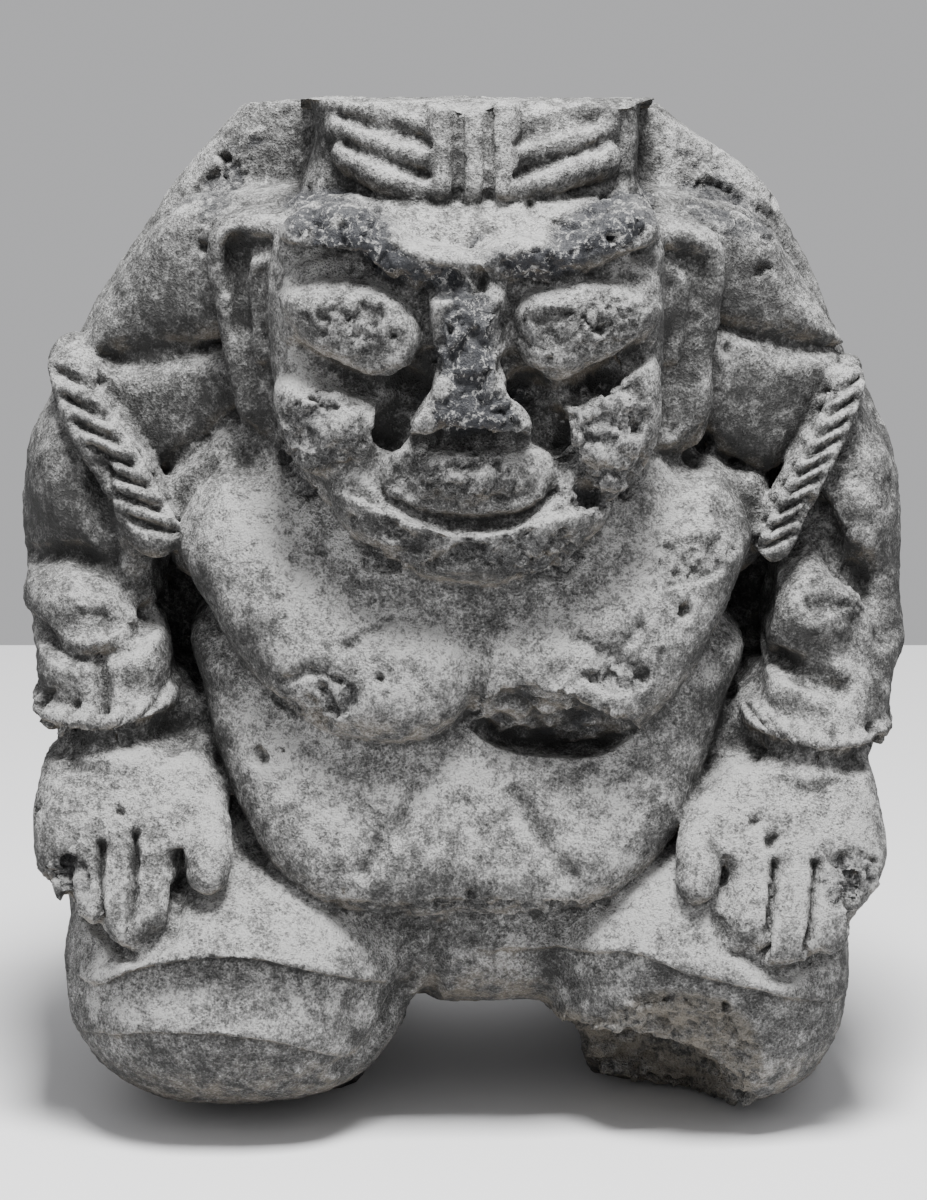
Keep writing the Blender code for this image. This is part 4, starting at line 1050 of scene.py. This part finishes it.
def drop_crumbs(solid):
    """Keeps the largest closed skin and drops any loose scrap."""
    left, largest = set(solid.verts), []
    while left:
        front = [left.pop()]
        shell = list(front)
        while front:
            near = {edge.other_vert(v) for v in front for edge in v.link_edges} & left
            left -= near
            front = list(near)
            shell += front
        largest = max(largest, shell, key=len)
    kept = set(largest)
    bmesh.ops.delete(solid, geom=[v for v in solid.verts if v not in kept], context="VERTS")


def thinned(mesh):
    """The mesh in fewer triangles; most of them stay where the form turns."""
    lump = bpy.data.objects.new("clay", mesh)
    bpy.context.scene.collection.objects.link(lump)
    thin = lump.modifiers.new("facets", "DECIMATE")
    thin.ratio = FACE_COUNT / sum(len(p.vertices) - 2 for p in mesh.polygons)
    return settled(lump)


def unspiked(mesh):
    """The mesh with any point that stands far out from its neighbours put among them."""
    pairs, degree = edge_pairs(mesh)
    points = vertex_array(mesh, "co") / SHARE
    for _ in range(4):
        halfway = rubbed(points, pairs, degree, 1)
        far = np.linalg.norm(points - halfway, axis=1) > SPIKE / 2
        points[far] = 2 * halfway[far] - points[far]
    put_points(mesh, points)
    return mesh


def stood(mesh):
    """The mesh cut level at the ground and centred over the origin."""
    solid = bmesh.new()
    solid.from_mesh(mesh)
    everything = solid.verts[:] + solid.edges[:] + solid.faces[:]
    ground = bmesh.ops.bisect_plane(
        solid, geom=everything, plane_co=(0, 0, 0), plane_no=(0, 0, 1), clear_inner=True
    )
    rims = [item for item in ground["geom_cut"] if isinstance(item, bmesh.types.BMEdge)]
    bmesh.ops.holes_fill(solid, edges=rims)
    bmesh.ops.triangulate(solid, faces=[f for f in solid.faces if len(f.verts) > 3])
    drop_crumbs(solid)
    bmesh.ops.recalc_face_normals(solid, faces=solid.faces)
    solid.to_mesh(mesh)
    solid.free()
    points = vertex_array(mesh, "co")
    low, high = points.min(axis=0), points.max(axis=0)
    points -= np.array([(low[0] + high[0]) / 2, (low[1] + high[1]) / 2, low[2]])
    mesh.vertices.foreach_set("co", points.astype(np.float32).ravel())
    mesh.update()
    return mesh


def modelled(clay):
    """The whole figure as one closed skin, with its wear stored on its points, and the relief and
    form that the painted shade is taken from.
    """
    winder = cord_winder()
    masses = fused(torso() + legs() + arms() + head(), SEAM_GRAIN, MASS_RUBS)
    masses = carved(masses, gaps())
    details = shoulder_pads() + breasts_and_belly() + face() + ears() + hair_bow()
    details += armlets() + bracelets(winder, clay) + hands()
    mesh = fused([as_shape(masses)] + details, CLAY_GRAIN, DETAIL_RUBS)
    mesh = carved(mesh, [chip_cut()])
    points, normals = vertex_array(mesh, "co") / SHARE, vertex_array(mesh, "normal")
    points = engraved(points, normals, creases(), cloth_folds())
    put_points(mesh, points)
    points, normals = vertex_array(mesh, "co") / SHARE, vertex_array(mesh, "normal")
    back = np.maximum(points[:, 1] - CROWN_EDGE, 0)
    dents = CROWN_DENTS * step(layered(points * np.array([1, 1, 0]), 5.0, 91, 3), -0.1, 0.5)
    over = np.maximum(points[:, 2] - SHARES + CROWN_FALL * back + dents, 0)
    points[:, 2] -= over * (1 - CROWN_SWELL)
    points, flaked, core = weathered(points, normals)
    put_points(mesh, points)
    put_values(mesh, "flaked", flaked)
    put_values(mesh, "core", core)
    put_values(mesh, "relief", bend_of(mesh, FINE_ROUNDS))
    put_values(mesh, "form", bend_of(mesh, FORM_ROUNDS))
    return stood(unspiked(thinned(mesh)))


# Finish

# The fired skin, as (place on the ramp, grey), from dark speckle and painted hollow shade to pale
# dust and painted top light
GREYS = ((0.0, 0.038), (0.25, 0.072), (0.5, 0.13), (0.75, 0.235), (1.0, 0.42))
SLATE = (0.036, 0.038, 0.044, 1.0)  # fresh break under the skin
CRACK_WHITE = (0.52, 0.515, 0.5, 1.0)
EARTH_STAIN = (0.15, 0.122, 0.088, 1.0)
CORE_BROWN = (0.17, 0.152, 0.125, 1.0)  # coarse clay inside the knee


def fired_clay():
    """Grey pottery: dust and painted top light, painted hollow shade, slate flakes with white
    cracks, sandy grain.
    """
    clay = bpy.data.materials.new("fired clay")
    clay.use_nodes = True
    tree = clay.node_tree
    shader = tree.nodes["Principled BSDF"]
    link = tree.links.new

    def add(kind, **settings):
        """A node of this kind, with these settings."""
        node = tree.nodes.new(kind)
        for name, value in settings.items():
            setattr(node, name, value)
        return node

    place = add("ShaderNodeTexCoord")

    def noise(scale, detail, roughness):
        """A noise pattern on the piece's own coordinates."""
        node = add("ShaderNodeTexNoise")
        node.inputs["Scale"].default_value = scale
        node.inputs["Detail"].default_value = detail
        node.inputs["Roughness"].default_value = roughness
        link(place.outputs["Object"], node.inputs["Vector"])
        return node.outputs["Fac"]

    def stored(name):
        """A value that the mesh keeps on its points."""
        return add("ShaderNodeAttribute", attribute_name=name).outputs["Fac"]

    def sum_of(*terms):
        """The sum of (socket, factor) pairs and plain numbers."""
        total = None
        for term in terms:
            if isinstance(term, (int, float)):
                node = add("ShaderNodeMath", operation="ADD")
                link(total, node.inputs[0])
                node.inputs[1].default_value = term
                total = node.outputs[0]
                continue
            socket, factor = term
            node = add("ShaderNodeMath", operation="MULTIPLY_ADD")
            link(socket, node.inputs[0])
            node.inputs[1].default_value = factor
            if total is None:
                node.inputs[2].default_value = 0.0
            else:
                link(total, node.inputs[2])
            total = node.outputs[0]
        return total

    def between(socket, low, high, top=1.0):
        """0 where the socket is below low, top where it is above high."""
        node = add("ShaderNodeMapRange", interpolation_type="SMOOTHSTEP")
        node.inputs["From Min"].default_value = low
        node.inputs["From Max"].default_value = high
        node.inputs["To Max"].default_value = top
        link(socket, node.inputs["Value"])
        return node.outputs["Result"]

    def product(a, b):
        """One socket times another."""
        node = add("ShaderNodeMath", operation="MULTIPLY")
        link(a, node.inputs[0])
        link(b, node.inputs[1])
        return node.outputs[0]

    def painted(under, colour, share):
        """A colour laid over another where share is 1."""
        node = add("ShaderNodeMix", data_type="RGBA")
        link(share, node.inputs["Factor"])
        link(under, node.inputs[6])
        node.inputs[7].default_value = colour
        return node.outputs[2]

    broad, patch = noise(30.0, 3.0, 0.5), noise(135.0, 4.0, 0.62)
    fleck, grain = noise(560.0, 4.0, 0.7), noise(1500.0, 2.0, 0.6)
    flaked, core = stored("flaked"), stored("core")
    relief, form = stored("relief"), stored("form")
    normal = add("ShaderNodeNewGeometry").outputs["Normal"]
    apart = add("ShaderNodeSeparateXYZ")
    link(normal, apart.inputs[0])
    up = apart.outputs["Z"]

    speckle = sum_of((grain, 1.5), (fleck, 1.6))
    depth = add("ShaderNodeSeparateXYZ")
    link(place.outputs["Object"], depth.inputs[0])
    proud = between(sum_of((depth.outputs["Y"], -1.0)), 0.03, 0.068)
    # Painted shade: the deeper a point lies in a hollow of the form, the darker its tone.
    hollow = between(sum_of((form, -1.0)), 0.1, 2.0)
    # Dust, and painted top light: faces that look up are made paler.
    dust_and_top_light = between(up, -0.3, 0.75)
    # The tone: random speckle and patches, lighter where it stands furthest forward, and through
    # relief lighter on raised edges, with painted shade in fine creases.
    tone = sum_of((speckle, 1.0), (patch, 1.8), (broad, 1.0), (dust_and_top_light, 0.5), (proud, 0.28),
                  (hollow, -0.4), (relief, 0.7), -2.78)
    dusted = add("ShaderNodeValToRGB")
    ramp = dusted.color_ramp
    for spot, grey in GREYS:
        stop = ramp.elements.new(spot) if 0 < spot < 1 else ramp.elements[-int(spot)]
        stop.color = (grey, 0.995 * grey, 0.975 * grey, 1.0)
    link(tone, dusted.inputs["Fac"])
    colour = dusted.outputs["Color"]

    chip = between(sum_of((flaked, 1.0), (fleck, 0.5), -0.25), 0.25, 0.45)
    bare = between(sum_of((speckle, 1.0), (patch, 1.1), (relief, 1.2)), 2.35, 3.0)
    slate = between(sum_of((bare, -1.0)), -1.0, 0.0, 0.9)
    colour = painted(colour, SLATE, product(product(chip, slate), between(flaked, 0.2, 1.1)))

    cell = add("ShaderNodeTexVoronoi", feature="DISTANCE_TO_EDGE")
    cell.inputs["Scale"].default_value = 170.0
    bend = add("ShaderNodeVectorMath", operation="MULTIPLY_ADD")
    wander = add("ShaderNodeTexNoise")
    wander.inputs["Scale"].default_value = 420.0
    wander.inputs["Detail"].default_value = 3.0
    link(place.outputs["Object"], wander.inputs["Vector"])
    link(wander.outputs["Color"], bend.inputs[0])
    bend.inputs[1].default_value = (0.0065, 0.0065, 0.0065)
    link(place.outputs["Object"], bend.inputs[2])
    link(bend.outputs[0], cell.inputs["Vector"])
    crack = between(sum_of((cell.outputs["Distance"], -1.0)), -0.085, -0.03)
    brittle = sum_of((flaked, 0.5), (patch, 1.0), (broad, 0.4))
    crack = product(crack, between(brittle, 0.94, 1.08, 0.85))
    colour = painted(colour, CRACK_WHITE, product(crack, between(fleck, 0.47, 0.6, 0.8)))

    below = between(sum_of((up, -1.0), (broad, 1.0)), 0.7, 1.3)
    stain = product(below, between(patch, 0.4, 0.6, 0.5))
    colour = painted(colour, EARTH_STAIN, stain)
    inside = product(core, between(sum_of((patch, 0.7), (fleck, 0.6)), 0.5, 0.78, 0.85))
    colour = painted(colour, CORE_BROWN, inside)
    link(colour, shader.inputs["Base Color"])

    rough = add("ShaderNodeMapRange")
    link(grain, rough.inputs["Value"])
    rough.inputs["To Min"].default_value = 0.78
    rough.inputs["To Max"].default_value = 1.0
    link(rough.outputs["Result"], shader.inputs["Roughness"])
    shader.inputs["Specular IOR Level"].default_value = 0.25

    coarse = add("ShaderNodeBump")
    coarse.inputs["Strength"].default_value = 1.0
    coarse.inputs["Distance"].default_value = 0.0015
    ledge = add("ShaderNodeTexVoronoi", feature="F1")
    ledge.inputs["Scale"].default_value = 300.0
    link(bend.outputs[0], ledge.inputs["Vector"])
    ledges = product(ledge.outputs["Color"], sum_of((chip, 0.8), (core, 0.6)))
    link(sum_of((fleck, 1.0), (patch, 0.5), (ledges, 0.9)), coarse.inputs["Height"])
    fine = add("ShaderNodeBump")
    fine.inputs["Strength"].default_value = 1.0
    fine.inputs["Distance"].default_value = 0.0009
    link(grain, fine.inputs["Height"])
    link(coarse.outputs["Normal"], fine.inputs["Normal"])
    link(fine.outputs["Normal"], shader.inputs["Normal"])
    return clay


def plain(name, colour, roughness):
    """A plain even finish for what the figure stands on."""
    finish = bpy.data.materials.new(name)
    finish.use_nodes = True
    shader = finish.node_tree.nodes["Principled BSDF"]
    shader.inputs["Base Color"].default_value = colour
    shader.inputs["Roughness"].default_value = roughness
    return finish


# The room: floor, lights and camera


def sheet_of(name, corners, finish):
    """A flat four-cornered surface."""
    mesh = bpy.data.meshes.new(name)
    mesh.from_pydata(corners, [], [(0, 1, 2, 3)])
    mesh.materials.append(finish)
    surface = bpy.data.objects.new(name, mesh)
    bpy.context.scene.collection.objects.link(surface)


def lamp(name, place, aim, size, power):
    """A soft square lamp."""
    light = bpy.data.lights.new(name, "AREA")
    light.size = size
    light.energy = power
    stand = bpy.data.objects.new(name, light)
    bpy.context.scene.collection.objects.link(stand)
    stand.location = place
    stand.rotation_mode = "QUATERNION"
    stand.rotation_quaternion = (Vector(aim) - Vector(place)).to_track_quat("-Z", "Y")


PHOTO_LONG_SIDE = 1200.0  # pixels
PHOTO_SHIFT = (2.5, -3.0)  # pixels
FOCUS = 4125.0  # distance from the lens to the picture, in its pixels
CAMERA_DISTANCE = 1.26
CAMERA_RISE = 12.0  # degrees above the level
AIM = (0.0, 0.0, 0.15)
SENSOR = 36.0


def camera():
    """The camera in the photograph's place."""
    lens = bpy.data.cameras.new("camera")
    lens.sensor_width = SENSOR
    lens.lens = FOCUS / PHOTO_LONG_SIDE * SENSOR
    lens.shift_x = PHOTO_SHIFT[0] / PHOTO_LONG_SIDE
    lens.shift_y = PHOTO_SHIFT[1] / PHOTO_LONG_SIDE
    stand = bpy.data.objects.new("camera", lens)
    bpy.context.scene.collection.objects.link(stand)
    rise = math.radians(CAMERA_RISE)
    back = Vector((0.0, -math.cos(rise), math.sin(rise)))
    stand.location = Vector(AIM) + back * CAMERA_DISTANCE
    stand.rotation_mode = "QUATERNION"
    stand.rotation_quaternion = (-back).to_track_quat("-Z", "Y")
    bpy.context.scene.camera = stand


FLOOR_GREY = (0.8, 0.8, 0.805, 1.0)
SURROUND_GREY = (0.5, 0.5, 0.51, 1.0)
LAMP_PLACE, LAMP_AIM = (0.05, -0.36, 1.25), (0, 0, 0.12)
LAMP_SIZE, LAMP_POWER = 0.35, 42.0  # metres, watts


def room():
    """A pale floor under a grey surround, and soft light from above."""
    sheet_of("floor", [(-4, -4, 0), (4, -4, 0), (4, 0.6, 0), (-4, 0.6, 0)],
             plain("pale floor", FLOOR_GREY, 0.9))
    lamp("over", LAMP_PLACE, LAMP_AIM, LAMP_SIZE, LAMP_POWER)
    world = bpy.data.worlds.new("room")
    world.use_nodes = True
    surround = world.node_tree.nodes["Background"]
    surround.inputs["Color"].default_value = SURROUND_GREY
    surround.inputs["Strength"].default_value = 1.0
    bpy.context.scene.world = world


clay = fired_clay()
mesh = modelled(clay)
mesh.name = "guardian"
mesh.materials.clear()
mesh.materials.append(clay)
mesh.shade_smooth()
guardian = bpy.data.objects.new("guardian", mesh)
bpy.context.scene.collection.objects.link(guardian)
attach(guardian, "root")
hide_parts("figure")
room()
camera()
